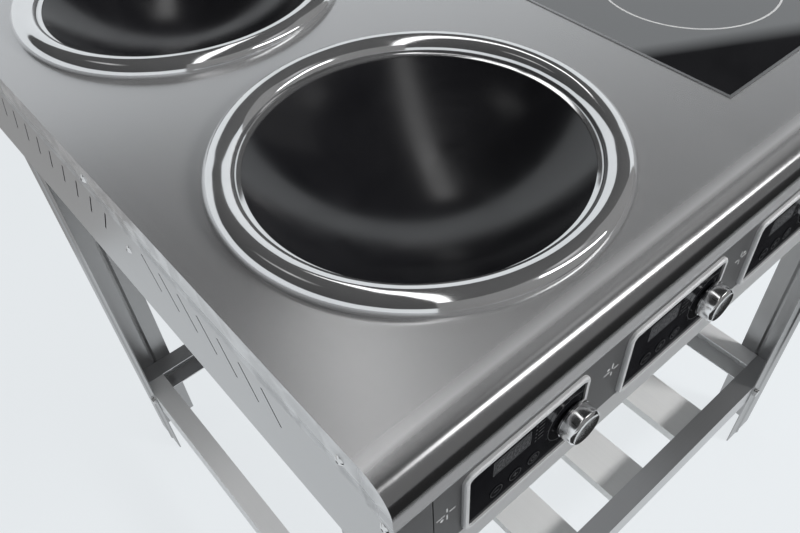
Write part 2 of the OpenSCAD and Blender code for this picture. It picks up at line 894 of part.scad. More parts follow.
cross_length = 2 * (leg_out_x - stand_t - fit);
side_length = leg_rear_y - leg_front_y - 2 * (stand_t + rail_w + fit);

module cross_rail(rear) {
    color(steel) difference() {
        translate([0, rear ? leg_rear_y - stand_t : leg_front_y + stand_t, 0])
            mirror([0, rear ? 1 : 0, 0]) rail(cross_length);
        at_legs() rail_bolt_holes();
    }
}

module side_rail(side) {
    color(light_steel) difference() {
        on_side(side) translate([-leg_out_x + stand_t, (leg_front_y + leg_rear_y) / 2, 0])
            rotate(-90) rail(side_length);
        at_legs() rail_bolt_holes();
    }
}

module shelf_slats() {
    seat_z = rail_z - rail_h + stand_t;
    web_in = 2 * stand_t + fit;
    fold_in = web_in + rail_w;
    span = leg_rear_y - leg_front_y;
    color(light_steel) for (i = [0:slat_count - 1])
        translate([(i - (slat_count - 1) / 2) * slat_pitch - slat_w / 2, leg_front_y, seat_z]) {
            translate([0, web_in, 0]) cube([slat_w, span - 2 * web_in, slat_t]);
            for (x = [0, slat_w - slat_t]) translate([x, fold_in, slat_t - slat_h])
                cube([slat_t, span - 2 * fold_in, slat_h - slat_t / 2]);
        }
}

// Bolt along +Z from its seat at 0, with a nut on the far side of a grip
module bolt(grip) {
    translate([0, 0, -bolt_head_h]) cylinder(d = bolt_head_d, h = bolt_head_h, $fn = 6);
    cylinder(d = bolt_d, h = grip + nut_h + bolt_tail);
    translate([0, 0, grip]) cylinder(d = bolt_head_d, h = nut_h, $fn = 6);
}

module stand_bolts() {
    color(mirror_steel) {
        at_legs() for (d = foot_bolt_in) translate([d, d, leg_top]) bolt(foot_plate_t + panel_t);
        at_legs() at_rail_bolts() bolt(2 * stand_t);
    }
}

top_plate();
side_panel(-1);  // side_panel_left
side_panel(1);  // side_panel_right
rear_panel();
bottom_pan();
fascia_plate();
fascia_end(-1);  // fascia_end_left
fascia_end(1);  // fascia_end_right
front_lip();
wok_ring(0);  // wok_ring_front
wok_ring(1);  // wok_ring_rear
wok_bowl(0);  // wok_bowl_front
wok_bowl(1);  // wok_bowl_rear
bowl_seals();
wok_coils();
wok_coil_carriers();
hob_glass();
hob_trim();
hob_coils();
hob_coil_carriers();
panel_bezels();
panel_glass(0);  // panel_glass_1
panel_glass(1);  // panel_glass_2
panel_glass(2);  // panel_glass_3
panel_glass(3);  // panel_glass_4
knob(0);  // knob_1
knob(1);  // knob_2
knob(2);  // knob_3
knob(3);  // knob_4
button(0, 0);  // minus_button_1
button(0, 1);  // plus_button_1
button(0, 2);  // timer_button_1
button(1, 0);  // minus_button_2
button(1, 1);  // plus_button_2
button(1, 2);  // timer_button_2
button(2, 0);  // minus_button_3
button(2, 1);  // plus_button_3
button(2, 2);  // timer_button_3
button(3, 0);  // minus_button_4
button(3, 1);  // plus_button_4
button(3, 2);  // timer_button_4
control_boards();
generator_modules();
fan_frames();
fan_rotor(0);  // fan_rotor_front
fan_rotor(1);  // fan_rotor_rear
terminal_block();
cable_gland();
side_screws();
leg(-1, false);  // leg_front_left
leg(1, false);  // leg_front_right
leg(-1, true);  // leg_rear_left
leg(1, true);  // leg_rear_right
cross_rail(false);  // rail_front
cross_rail(true);  // rail_rear
side_rail(-1);  // rail_left
side_rail(1);  // rail_right
shelf_slats();
stand_bolts();
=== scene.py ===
"""Finishes, printed marks, knobs, stage and light of a four-zone induction range."""
import math

import bmesh
import bpy
import numpy as np
from bpy.props import FloatProperty, FloatVectorProperty, PointerProperty
from bpy.types import Operator, Panel, PropertyGroup
from mathutils import Matrix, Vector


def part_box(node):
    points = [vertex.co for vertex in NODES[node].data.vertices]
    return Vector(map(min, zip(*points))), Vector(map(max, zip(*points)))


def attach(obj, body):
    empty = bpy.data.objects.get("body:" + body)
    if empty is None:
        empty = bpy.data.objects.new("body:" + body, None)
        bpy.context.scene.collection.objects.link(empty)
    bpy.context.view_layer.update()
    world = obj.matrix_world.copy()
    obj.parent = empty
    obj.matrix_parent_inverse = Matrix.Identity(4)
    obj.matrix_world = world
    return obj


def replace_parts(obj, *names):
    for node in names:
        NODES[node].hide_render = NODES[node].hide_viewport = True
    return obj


bl_info = {
    "name": "Wok Range Finishes",
    "version": (1, 0, 0),
    "blender": (4, 5, 0),
    "location": "3D View > Sidebar > Wok Range",
    "description": "Steel, glass, printed marks, knobs, stage and light for an induction wok range",
    "category": "Object",
}

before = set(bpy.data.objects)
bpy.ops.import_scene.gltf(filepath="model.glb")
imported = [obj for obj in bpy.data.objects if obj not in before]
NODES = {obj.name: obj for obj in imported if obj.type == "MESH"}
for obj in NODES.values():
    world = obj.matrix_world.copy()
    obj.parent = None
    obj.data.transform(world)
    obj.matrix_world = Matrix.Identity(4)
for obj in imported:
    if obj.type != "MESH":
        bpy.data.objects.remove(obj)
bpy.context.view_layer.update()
MM = 0.001
PANELS = (1, 2, 3, 4)
BUTTONS = ("minus", "plus", "timer")
COIL_COPPER = (0.62, 0.3, 0.14)

# Radii of the wok wells in mm: the ring's bead, the hole for the bowl and the bowl's sphere
BEAD, WELL, BOWL = 14.5, 152.8, 212.0


def low(node):
    """Lowest corner of a CAD node, as an array."""
    return np.array(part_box(node)[0])


def high(node):
    """Highest corner of a CAD node, as an array."""
    return np.array(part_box(node)[1])


def middle(node):
    """Middle of a CAD node's box, as an array."""
    return (low(node) + high(node)) / 2


# Mesh making


def make_mesh(name, points, faces, smooth):
    """Puts an array of points and an array of faces with equal corners into a new object."""
    count, corners = faces.shape
    mesh = bpy.data.meshes.new(name)
    mesh.vertices.add(len(points))
    mesh.vertices.foreach_set("co", np.asarray(points, np.float32).ravel())
    mesh.loops.add(count * corners)
    mesh.loops.foreach_set("vertex_index", np.asarray(faces, np.int32).ravel())
    mesh.polygons.add(count)
    mesh.polygons.foreach_set("loop_start", np.arange(0, count * corners, corners, dtype=np.int32))
    mesh.polygons.foreach_set("use_smooth", np.full(count, smooth))
    mesh.update(calc_edges=True)
    piece = bpy.data.objects.new(name, mesh)
    bpy.context.scene.collection.objects.link(piece)
    return piece


def close_up(piece, sharp_angle=None):
    """Merges doubled points, turns the faces outwards and marks edges sharper than an angle."""
    shell = bmesh.new()
    shell.from_mesh(piece.data)
    bmesh.ops.remove_doubles(shell, verts=shell.verts, dist=1e-7)
    bmesh.ops.dissolve_degenerate(shell, edges=shell.edges, dist=1e-8)
    bmesh.ops.recalc_face_normals(shell, faces=shell.faces)
    shell.to_mesh(piece.data)
    shell.free()
    if sharp_angle is not None:
        piece.data.set_sharp_from_angle(angle=math.radians(sharp_angle))
    return piece


def turned_piece(name, profile, centre, turns=96, sharp_angle=30, upright=False):
    """A body turned about a line along Y. With u along the profile (r, d) and v round the line,
    S(u, v) = centre + (r(u) cos v, d(u), r(u) sin v), or centre + (r(u) cos v, r(u) sin v, d(u)) where
    the line stands upright. Its map holds v as x and u as y."""
    profile = np.asarray(profile, float) * MM
    angle = np.linspace(0, 2 * math.pi, turns + 1)
    radius, depth = profile[:, 0][:, None], profile[:, 1][:, None]
    sideways, other, along = radius * np.cos(angle), radius * np.sin(angle), depth + 0 * angle
    columns = [sideways, other, along] if upright else [sideways, along, other]
    grid = np.stack(columns, axis=-1) + np.asarray(centre)
    rows, columns = grid.shape[:2]
    index = np.arange(rows * columns).reshape(rows, columns)
    corners = [index[:-1, :-1], index[:-1, 1:], index[1:, 1:], index[1:, :-1]]
    faces = np.stack(corners, axis=-1).reshape(-1, 4)
    piece = make_mesh(name, grid.reshape(-1, 3), faces, True)
    length = np.concatenate([[0], np.cumsum(np.hypot(*np.diff(profile, axis=0).T))])
    around, along = np.meshgrid(angle / (2 * math.pi), length / length[-1])
    spots = np.stack([around.ravel(), along.ravel()], axis=-1)[faces.ravel()]
    layer = piece.data.uv_layers.new(name="turning")
    layer.uv.foreach_set("vector", spots.astype(np.float32).ravel())
    return close_up(piece, sharp_angle)


def face_plane(x, y, z, level=False):
    """Maps flat marks, drawn in mm to the right and up, onto a face that looks towards -Y, or, drawn to
    the right and back, onto a level face that looks up."""
    def place(flat, depth):
        right, far = flat[..., 0] * MM, flat[..., 1] * MM
        proud = depth + 0 * right
        return np.stack([x + right] + ([y + far, z + proud] if level else [y - proud, z + far]), axis=-1)
    return place


def printed_piece(name, flats, place, proud=0.05, sunk=0.03):
    """Ink on a face: each flat four-cornered shape becomes a closed box that is proud mm above
    the face and sunk mm into it. Box(q, t) = place(q, t) for t in {-sunk, proud}."""
    quads = np.concatenate(flats)
    under, over = place(quads, -sunk * MM), place(quads, proud * MM)
    points = np.concatenate([under, over], axis=1).reshape(-1, 3)
    box = np.array([[3, 2, 1, 0], [4, 5, 6, 7], [0, 1, 5, 4], [1, 2, 6, 5], [2, 3, 7, 6], [3, 0, 4, 7]])
    faces = (np.arange(len(quads))[:, None, None] * 8 + box).reshape(-1, 4)
    piece = make_mesh(name, points, faces, False)
    return close_up(piece)


def stroke(start, end, width):
    """One straight bar: start and end moved half a width to each side of the line between them."""
    start, end = np.asarray(start, float), np.asarray(end, float)
    along = (end - start) / np.linalg.norm(end - start)
    side = np.array([-along[1], along[0]]) * width / 2
    return np.array([[start - side, end - side, end + side, start + side]])


def arc(centre, radius, width, first=0.0, last=360.0, pieces=48):
    """A band round a centre: c + (radius +- width / 2)(cos a, sin a) for a from first to last."""
    angle = np.radians(np.linspace(first, last, pieces + 1))
    ray = np.stack([np.cos(angle), np.sin(angle)], axis=-1)
    inner = np.asarray(centre) + ray * (radius - width / 2)
    outer = np.asarray(centre) + ray * (radius + width / 2)
    return np.stack([outer[:-1], outer[1:], inner[1:], inner[:-1]], axis=1)


def dot(centre, radius):
    """A disc, as a band whose inner edge is its centre."""
    return arc(centre, radius / 2, radius, pieces=12)


def figure_eight(x, z, wide, tall, bar, lean):
    """The seven bars of a display figure with its lower left corner at x, z, leaning to the right."""
    half = tall / 2
    gap = bar * 0.6
    ends = [
        ((gap, 0), (wide - gap, 0)), ((gap, half), (wide - gap, half)), ((gap, tall), (wide - gap, tall)),
        ((0, gap), (0, half - gap)), ((wide, gap), (wide, half - gap)),
        ((0, half + gap), (0, tall - gap)), ((wide, half + gap), (wide, tall - gap)),
    ]
    bars = np.concatenate([stroke(a, b, bar) for a, b in ends])
    bars[..., 0] += bars[..., 1] * lean
    return bars + np.array([x, z])


# Node helpers


def feed(tree, made, pairs):
    """Links or sets a node's inputs, each by its place or name."""
    for key, value in pairs:
        if isinstance(value, bpy.types.NodeSocket):
            tree.links.new(value, made.inputs[key])
        elif value is not None:
            made.inputs[key].default_value = value
    return made


def add(tree, kind, *inputs, props=None, **named):
    """Adds a shader node, sets its properties, and links or sets its inputs."""
    made = tree.nodes.new("ShaderNode" + kind)
    for key, value in (props or {}).items():
        setattr(made, key, value)
    by_name = [(key.replace("_", " "), value) for key, value in named.items()]
    return feed(tree, made, list(enumerate(inputs)) + by_name)


def sum_up(tree, operation, *inputs, clamp=False):
    """A Math node's result."""
    return add(tree, "Math", *inputs, props={"operation": operation, "use_clamp": clamp}).outputs[0]


def vector_sum(tree, operation, *inputs):
    """A Vector Math node."""
    return add(tree, "VectorMath", *inputs, props={"operation": operation})


def blend_colour(tree, mask, first, second):
    """Goes from the first colour to the second as the mask goes from 0 to 1."""
    made = add(tree, "Mix", props={"data_type": "RGBA"})
    feed(tree, made, ((0, mask), (6, first), (7, second)))
    return made.outputs[2]


def span(tree, value, from_low, from_high, to_low, to_high):
    """Moves a value from one range to another, clamped."""
    return add(tree, "MapRange", value, from_low, from_high, to_low, to_high).outputs[0]


def shader_group(name, inputs, *outputs):
    """A new node group with its named inputs and outputs, as sockets to link from and to."""
    tree = bpy.data.node_groups.new(name, "ShaderNodeTree")
    for label, value in inputs.items():
        kind = "NodeSocketFloat" if isinstance(value, float) else "NodeSocketVector"
        socket = tree.interface.new_socket(name=label, in_out="INPUT", socket_type=kind)
        if value is not None:
            socket.default_value = value
    for label in outputs:
        tree.interface.new_socket(name=label, in_out="OUTPUT", socket_type="NodeSocketFloat")
    return tree, tree.nodes.new("NodeGroupInput").outputs, tree.nodes.new("NodeGroupOutput").inputs


def contrasted(tree, noise, contrast):
    """Noise about 0.5 with its swings times a contrast, clamped."""
    swing = sum_up(tree, "MULTIPLY", sum_up(tree, "SUBTRACT", noise, 0.5), contrast)
    return sum_up(tree, "ADD", swing, 0.5, clamp=True)


def brushed_lines_group():
    """Lines of a brushed sheet: noise that Stretch draws out along one direction."""
    tree, given, result = shader_group(
        "brushed_lines", {"Vector": None, "Stretch": (3, 500, 500), "Contrast": 1.6}, "Lines")
    drawn = vector_sum(tree, "MULTIPLY", given["Vector"], given["Stretch"]).outputs[0]
    noise = add(tree, "TexNoise", Vector=drawn, Scale=1.0, Detail=3.0, Roughness=0.7).outputs[0]
    tree.links.new(contrasted(tree, noise, given["Contrast"]), result["Lines"])
    return tree


def wiping_haze_group():
    """Soft cloudy marks that cleaning and handling leave on a sheet."""
    tree, given, result = shader_group(
        "wiping_haze", {"Vector": None, "Scale": 5.0, "Contrast": 1.8}, "Haze")
    noise = add(
        tree, "TexNoise", Vector=given["Vector"], Scale=given["Scale"], Detail=4.0, Roughness=0.55,
        Distortion=0.8).outputs[0]
    tree.links.new(contrasted(tree, noise, given["Contrast"]), result["Haze"])
    return tree


def fine_dust_group():
    """Sparse small specks: the middles of some cells."""
    tree, given, result = shader_group("fine_dust", {"Vector": None, "Scale": 400.0, "Size": 0.1}, "Specks")
    cells = add(tree, "TexVoronoi", Vector=given["Vector"], Scale=given["Scale"])
    near = sum_up(tree, "LESS_THAN", cells.outputs["Distance"], given["Size"])
    red = add(tree, "SeparateColor", cells.outputs["Color"]).outputs[0]
    some = sum_up(tree, "LESS_THAN", red, 0.3)
    tree.links.new(sum_up(tree, "MULTIPLY", near, some), result["Specks"])
    return tree


def turning_rings_group():
    """Fine rings round the Y or Z line through a centre, as a lathe or a winding leaves them."""
    tree, given, result = shader_group(
        "turning_rings", {"Vector": None, "Centre": None, "Plane": (1, 0, 1), "Pitch": 0.001},
        "Rings", "Distance")
    away = vector_sum(tree, "SUBTRACT", given["Vector"], given["Centre"]).outputs[0]
    flat = vector_sum(tree, "MULTIPLY", away, given["Plane"]).outputs[0]
    reach = vector_sum(tree, "LENGTH", flat).outputs["Value"]
    turns = sum_up(tree, "MULTIPLY", sum_up(tree, "DIVIDE", reach, given["Pitch"]), 2 * math.pi)
    wave = sum_up(tree, "MULTIPLY_ADD", sum_up(tree, "SINE", turns), 0.5, 0.5)
    tree.links.new(wave, result["Rings"])
    tree.links.new(reach, result["Distance"])
    return tree


GROUP_MAKERS = {
    "brushed_lines": brushed_lines_group,
    "wiping_haze": wiping_haze_group,
    "fine_dust": fine_dust_group,
    "turning_rings": turning_rings_group,
}


def effect(tree, name, where, output=0, **named):
    """Places a shared effect in a material and returns one of its outputs."""
    made = tree.nodes.new("ShaderNodeGroup")
    made.node_tree = bpy.data.node_groups.get(name) or GROUP_MAKERS[name]()
    return feed(tree, made, {"Vector": where, **named}.items()).outputs[output]


def blank_material(name):
    """A material with nothing but its output and Object coordinates."""
    made = bpy.data.materials.new(name)
    made.use_nodes = True
    tree = made.node_tree
    tree.nodes.clear()
    surface = tree.nodes.new("ShaderNodeOutputMaterial").inputs["Surface"]
    where = tree.nodes.new("ShaderNodeTexCoord").outputs["Object"]
    return made, tree, surface, where


def new_material(name, metallic=0.0):
    """A blank material with its shader."""
    made, tree, surface, where = blank_material(name)
    shader = tree.nodes.new("ShaderNodeBsdfPrincipled")
    shader.inputs["Metallic"].default_value = metallic
    tree.links.new(shader.outputs[0], surface)
    return made, tree, shader, where


def shade(colour, factor):
    """A colour times a factor, with full alpha."""
    return tuple(min(1.0, c * factor) for c in tuple(colour)[:3]) + (1.0,)


def bump(tree, shader, height, strength, distance):
    """Feeds a height to the shader's normal."""
    made = add(tree, "Bump", Strength=strength, Distance=distance, Height=height)
    tree.links.new(made.outputs[0], shader.inputs["Normal"])


def tint(tree, shader, mask, first, second):
    """Colours a finish from the first colour to the second as the mask goes from 0 to 1."""
    tree.links.new(blend_colour(tree, mask, first, second), shader.inputs["Base Color"])


def blur(tree, shader, mask, smooth, rough, from_low=0, from_high=1):
    """Makes a finish smooth where the mask is low and rough where it is high."""
    tree.links.new(span(tree, mask, from_low, from_high, smooth, rough), shader.inputs["Roughness"])


def vary(tree, shader, mask, colour, dark, light, roughness, swing):
    """Goes from a dark and smooth kind of a finish to a light and rough one as the mask rises."""
    tint(tree, shader, mask, shade(colour, dark), shade(colour, light))
    blur(tree, shader, mask, roughness * (1 - swing), roughness * (1 + swing))


def mixed(tree, first, share, second):
    """A share of the first value and the rest of the second."""
    kept = sum_up(tree, "MULTIPLY", first, share)
    return sum_up(tree, "ADD", kept, sum_up(tree, "MULTIPLY", second, 1 - share))


# Finishes


def brushed_steel(
        name, colour, roughness, stretch, swing=0.06, haze_scale=5.0, relief=0.05, metallic=1.0, across=None):
    """Stainless sheet: lines from its brushing, and wiping haze that lightens and dulls it a little.
    Where the way across the lines is given, highlights spread along it."""
    made, tree, shader, where = new_material(name, metallic)
    lines = effect(tree, "brushed_lines", where, Stretch=stretch)
    haze = effect(tree, "wiping_haze", where, Scale=haze_scale)
    tone = mixed(tree, lines, 0.45, haze)
    vary(tree, shader, tone, colour, 1 - swing, 1 + swing, roughness, 0.14)
    bump(tree, shader, lines, relief, 0.0001)
    if across:
        shader.inputs["Anisotropic"].default_value = 0.8
        tree.links.new(add(tree, "CombineXYZ", *across).outputs[0], shader.inputs["Tangent"])
    return made


def mirror_steel(name, colour):
    """Spun and polished steel: nearly a mirror, a little wavy, with traces of its polishing."""
    made, tree, shader, where = new_material(name, 0.93)
    haze = effect(tree, "wiping_haze", where, Scale=22.0)
    dust = effect(tree, "fine_dust", where, Scale=260.0, Size=0.05)
    tint(tree, shader, haze, shade(colour, 0.95), shade(colour, 1.03))
    dull = sum_up(tree, "MULTIPLY_ADD", dust, 0.1, span(tree, haze, 0, 1, 0.05, 0.11))
    tree.links.new(dull, shader.inputs["Roughness"])
    waves = add(tree, "TexNoise", Vector=where, Scale=16.0, Detail=1.0, Roughness=0.4, Distortion=0.3)
    bump(tree, shader, waves.outputs[0], 0.5, 0.0022)
    return made


def ceramic_glass(name, colour, ior, smooth=0.03, cloudy=0.09):
    """Black ceramic glass with faint wiping marks and dust. Its roughness goes from smooth to cloudy."""
    made, tree, shader, where = new_material(name)
    haze = effect(tree, "wiping_haze", where, Scale=9.0, Contrast=2.2)
    dust = effect(tree, "fine_dust", where, Scale=330.0, Size=0.06)
    specks = sum_up(tree, "MULTIPLY", dust, 0.35)
    dusty = sum_up(tree, "MAXIMUM", specks, sum_up(tree, "MULTIPLY", haze, 0.08))
    tint(tree, shader, dusty, shade(colour, 1), (0.06, 0.06, 0.065, 1))
    blur(tree, shader, haze, smooth, cloudy, 0.2, 0.9)
    shader.inputs["IOR"].default_value = ior
    return made


def moulded(name, colour, roughness, grain_scale=900.0, relief=0.15, metallic=0.0):
    """Moulded or painted surface with a fine grain and slight unevenness."""
    made, tree, shader, where = new_material(name, metallic)
    grain = add(tree, "TexNoise", Vector=where, Scale=grain_scale, Detail=2.0, Roughness=0.6).outputs[0]
    haze = effect(tree, "wiping_haze", where, Scale=14.0)
    tint(tree, shader, haze, shade(colour, 0.93), shade(colour, 1.06))
    blur(tree, shader, grain, roughness * 0.85, roughness * 1.15, 0.3, 0.7)
    bump(tree, shader, grain, relief, 0.00006)
    return made


def turned_metal(name, colour, centre, roughness, anisotropy):
    """Metal off the lathe, with fine rings round its own line, along which highlights spread."""
    made, tree, shader, where = new_material(name, 1.0)
    rings = effect(tree, "turning_rings", where, Centre=tuple(centre), Pitch=0.00045)
    haze = effect(tree, "wiping_haze", where, Scale=60.0)
    tone = mixed(tree, rings, 0.3, haze)
    vary(tree, shader, tone, colour, 0.9, 1.05, roughness, 0.2)
    shader.inputs["Anisotropic"].default_value = anisotropy
    tangent = add(tree, "Tangent", props={"direction_type": "UV_MAP", "uv_map": "turning"})
    tree.links.new(tangent.outputs[0], shader.inputs["Tangent"])
    return made


def uneven_finish(name, colour, dark, light, roughness, swing, scale, metallic):
    """A thin finish whose soft clouds go from a dark to a light share of its colour."""
    made, tree, shader, where = new_material(name, metallic)
    haze = effect(tree, "wiping_haze", where, Scale=scale)
    vary(tree, shader, haze, colour, dark, light, roughness, swing)
    return made


def plated_metal(name, colour, roughness):
    """Plated fasteners, slightly uneven."""
    return uneven_finish(name, colour, 0.85, 1.1, roughness, 0.3, 180.0, 1.0)


def ink(name, colour, roughness=0.5):
    """Screen-printed ink, thinner in places."""
    return uneven_finish(name, colour, 0.88, 1.05, roughness, 0.1, 400.0, 0.0)


def wound_copper(name, centres, pitch):
    """Stranded coil wire: turns as rings round the nearest of two centres, and strands across them. Each turn
    is painted dark at its sides and light at its crown: painted shade.
    """
    made, tree, shader, where = new_material(name, 0.9)
    reaches = [
        effect(tree, "turning_rings", where, "Distance", Centre=tuple(centre), Plane=(1, 1, 0))
        for centre in centres]
    reach = sum_up(tree, "MINIMUM", *reaches)
    turns = sum_up(tree, "FRACT", sum_up(tree, "DIVIDE", reach, pitch))
    aside = sum_up(tree, "ABSOLUTE", sum_up(tree, "MULTIPLY_ADD", turns, 2.0, -1.0))
    crown_and_painted_shade = sum_up(tree, "POWER", sum_up(tree, "SUBTRACT", 1.0, aside), 0.5)
    strands = effect(tree, "brushed_lines", where, Stretch=(1500, 1500, 1500))
    tone = sum_up(tree, "MULTIPLY", crown_and_painted_shade, span(tree, strands, 0, 1, 0.75, 1))
    # Painted shade: each turn is a quarter as bright at its sides as at its crown; the crown also feeds the
    # bump
    tint(tree, shader, tone, shade(COIL_COPPER, 0.25), shade(COIL_COPPER, 1.05))
    blur(tree, shader, strands, 0.35, 0.5)
    bump(tree, shader, crown_and_painted_shade, 0.6, 0.0015)
    return made


def circuit_board(name, colour):
    """Green solder mask over copper tracks."""
    made, tree, shader, where = new_material(name)
    tracks = add(tree, "TexBrick", Vector=where, Scale=60.0).outputs["Fac"]
    pads = effect(tree, "fine_dust", where, Scale=320.0, Size=0.3)
    haze = effect(tree, "wiping_haze", where, Scale=80.0)
    masked = blend_colour(tree, sum_up(tree, "MULTIPLY", tracks, 0.8), shade(colour, 1), shade(colour, 1.9))
    toned = blend_colour(tree, sum_up(tree, "MULTIPLY", haze, 0.3), masked, shade(colour, 0.6))
    tint(tree, shader, pads, toned, (0.55, 0.52, 0.45, 1))
    blur(tree, shader, haze, 0.3, 0.45)
    bump(tree, shader, tracks, 0.2, 0.0001)
    return made


# Pieces and their finishes


def dress(material, *nodes):
    """Gives CAD nodes a finish, in their own material slots."""
    for node in nodes:
        slots = NODES[node].data.materials
        for place in range(len(slots)):
            slots[place] = material


def give(piece, material, body):
    """Finishes a new piece and lets it ride on a CAD body."""
    piece.data.materials.clear()
    piece.data.materials.append(material)
    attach(piece, body)
    return piece


def print_marks(name, flats, place, finish, body="range_body", proud=0.05):
    """Prints flat marks on a face as one thin piece that rides on a CAD body."""
    give(printed_piece(name, flats, place, proud), finish, body)


def repaint(node, finishes, choose):
    """Copies a fixed CAD node, merges the copy's triangles, and gives each face the finish that
    choose(middle points) picks by number. The copy stands for the node."""
    mesh = NODES[node].data.copy()
    if mesh.attributes.get("custom_normal"):
        mesh.attributes.remove(mesh.attributes["custom_normal"])
    piece = bpy.data.objects.new(node + "_dressed", mesh)
    bpy.context.scene.collection.objects.link(piece)
    shell = bmesh.new()
    shell.from_mesh(mesh)
    bmesh.ops.remove_doubles(shell, verts=shell.verts, dist=1e-6)
    shell.to_mesh(mesh)
    shell.free()
    mesh.set_sharp_from_angle(angle=math.radians(30))
    mesh.materials.clear()
    for finish in finishes:
        mesh.materials.append(finish)
    spots = np.empty(len(mesh.polygons) * 3, np.float32)
    mesh.polygons.foreach_get("center", spots)
    mesh.polygons.foreach_set("material_index", choose(spots.reshape(-1, 3)).astype(np.int32))
    mesh.update()
    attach(piece, "range_body")
    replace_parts(piece, node)


# Settings


def colour_setting(name, description, default):
    """A colour that a user can change."""
    return FloatVectorProperty(
        name=name, description=description, subtype="COLOR", size=3, min=0, max=1, default=default)


def radiance_setting(name, description, most, default):
    """How brightly a lamp shines, from none to a most."""
    return FloatProperty(name=name, description=description, min=0, max=most, default=default)


class WokRangeFinish(PropertyGroup):
    """Colours and finishes that a user would change."""

    steel: colour_setting("Sheet steel", "Colour of the worktop, rear and cross rails", (0.53, 0.53, 0.535))
    light_steel: colour_setting("Light steel", "Colour of the side panels and hob trim", (0.48, 0.48, 0.482))
    dark_steel: colour_setting("Dark steel", "Colour of the fascia", (0.16, 0.16, 0.162))
    mirror: colour_setting("Polished steel", "Colour of the wok rings", (0.78, 0.78, 0.785))
    glass: colour_setting("Ceramic glass", "Colour of the bowls, hob and panels", (0.004, 0.004, 0.005))
    bezel: colour_setting("Bezel", "Colour of the rims round the control panels", (0.6, 0.6, 0.605))
    print_colour: colour_setting("Print", "Colour of the light printed marks", (0.5, 0.5, 0.5))
    dim_print: colour_setting("Dim print", "Colour of the grey marks on the glass", (0.045, 0.045, 0.047))
    worktop_roughness: FloatProperty(
        name="Worktop roughness", description="How far the worktop blurs what it reflects",
        subtype="FACTOR", min=0, max=1, default=0.25)


class WokRangeMarks(PropertyGroup):
    """Sizes of the printed marks."""

    zone_radius: FloatProperty(
        name="Zone circle", description="Radius of the circle printed round each flat zone",
        subtype="DISTANCE", unit="LENGTH", min=0.05, max=0.15, default=0.099)
    zone_line: FloatProperty(
        name="Zone line", description="Width of the circle's line",
        subtype="DISTANCE", unit="LENGTH", min=0.0005, max=0.005, default=0.0022)
    dial_radius: FloatProperty(
        name="Dial arc", description="Radius of the arc printed round each knob",
        subtype="DISTANCE", unit="LENGTH", min=0.019, max=0.03, default=0.0245)


class WokRangeStage(PropertyGroup):
    """Camera, backdrop and light."""

    camera_place: FloatVectorProperty(
        name="Camera", description="Where the camera stands", subtype="TRANSLATION", unit="LENGTH",
        size=3, default=(-0.5387, -0.5953, 1.2950))
    camera_lens: FloatProperty(
        name="Lens", description="Focal length of the camera in millimetres", min=10, max=200, default=34.80)
    backdrop: colour_setting("Backdrop", "Colour of the floor and the pale walls", (0.815, 0.849, 0.873))
    ceiling: colour_setting("Ceiling", "Colour of the room above its walls", (0.03, 0.0303, 0.031))
    strip_light: radiance_setting("Ceiling strip", "Radiance of the strip over the range", 20, 1.8)
    front_light: radiance_setting("Front strip", "Radiance of the strip in front of the range", 20, 5.0)
    key_light: radiance_setting("Key light", "Radiance of the square light at the front right", 100, 65.0)
    soft_light: radiance_setting("Soft light", "Radiance of the large soft light above", 20, 2.0)


# Operators, one for each group of like pieces


class WOKRANGE_OT_worktop(Operator):
    """Brushes the worktop, polishes its rolled edge and plates its side screws"""

    bl_idname = "wok_range.worktop"
    bl_label = "Worktop"

    # Where the finish changes, in mm behind the front edge or below the top
    ROLLED = (19, 13)
    DROPPED = (23, 30)
    # Painted highlight: the band between these two edges is made less metallic, so it looks lighter
    HIGHLIGHT_BAND_FRONT = (23, 28)
    HIGHLIGHT_BAND_REAR = (40, 29)

    def execute(self, context):
        look = context.scene.wok_range_finish
        steel = brushed_steel(
            "worktop_steel", look.steel, look.worktop_roughness, (500, 4, 4), swing=0.04, relief=0.03,
            metallic=0.8, across=(1, 0, 0))
        dress(steel, "top_plate")
        self.polish_bend(steel.node_tree)
        dress(plated_metal("screw_steel", (0.75, 0.75, 0.75), 0.16), "side_screws")
        return {"FINISHED"}

    def polish_bend(self, tree):
        """Polishes the rolled front edge and dulls the drop below it. A band behind the bend is less
        metallic: painted highlight.
        """
        shader = next(n for n in tree.nodes if n.bl_idname == "ShaderNodeBsdfPrincipled")
        place = add(tree, "SeparateXYZ", tree.nodes.new("ShaderNodeTexCoord").outputs["Object"])
        front, top = low("top_plate")[1], high("top_plate")[2]

        def behind(edges):
            return span(tree, place.outputs[1], *(front + edge * MM for edge in edges), 0, 1)

        rolled = behind(self.ROLLED)
        dropped = span(tree, place.outputs[2], *(top - edge * MM for edge in self.DROPPED), 0, 1)
        # Painted highlight: a quarter less metallic in the band behind the bend, so that it looks lighter
        painted_highlight = sum_up(tree, "MULTIPLY", behind(self.HIGHLIGHT_BAND_FRONT), behind(self.HIGHLIGHT_BAND_REAR))
        flat = sum_up(tree, "MULTIPLY_ADD", rolled, 0.2, 0.8)
        less = sum_up(tree, "MULTIPLY_ADD", dropped, 0.5, sum_up(tree, "MULTIPLY", painted_highlight, 0.25))
        tree.links.new(sum_up(tree, "SUBTRACT", flat, less, clamp=True), shader.inputs["Metallic"])
        before = shader.inputs["Roughness"].links[0].from_socket
        smoother = sum_up(tree, "MULTIPLY_ADD", sum_up(tree, "SUBTRACT", rolled, dropped), -0.2, 1.0)
        tree.links.new(sum_up(tree, "MULTIPLY", before, smoother), shader.inputs["Roughness"])


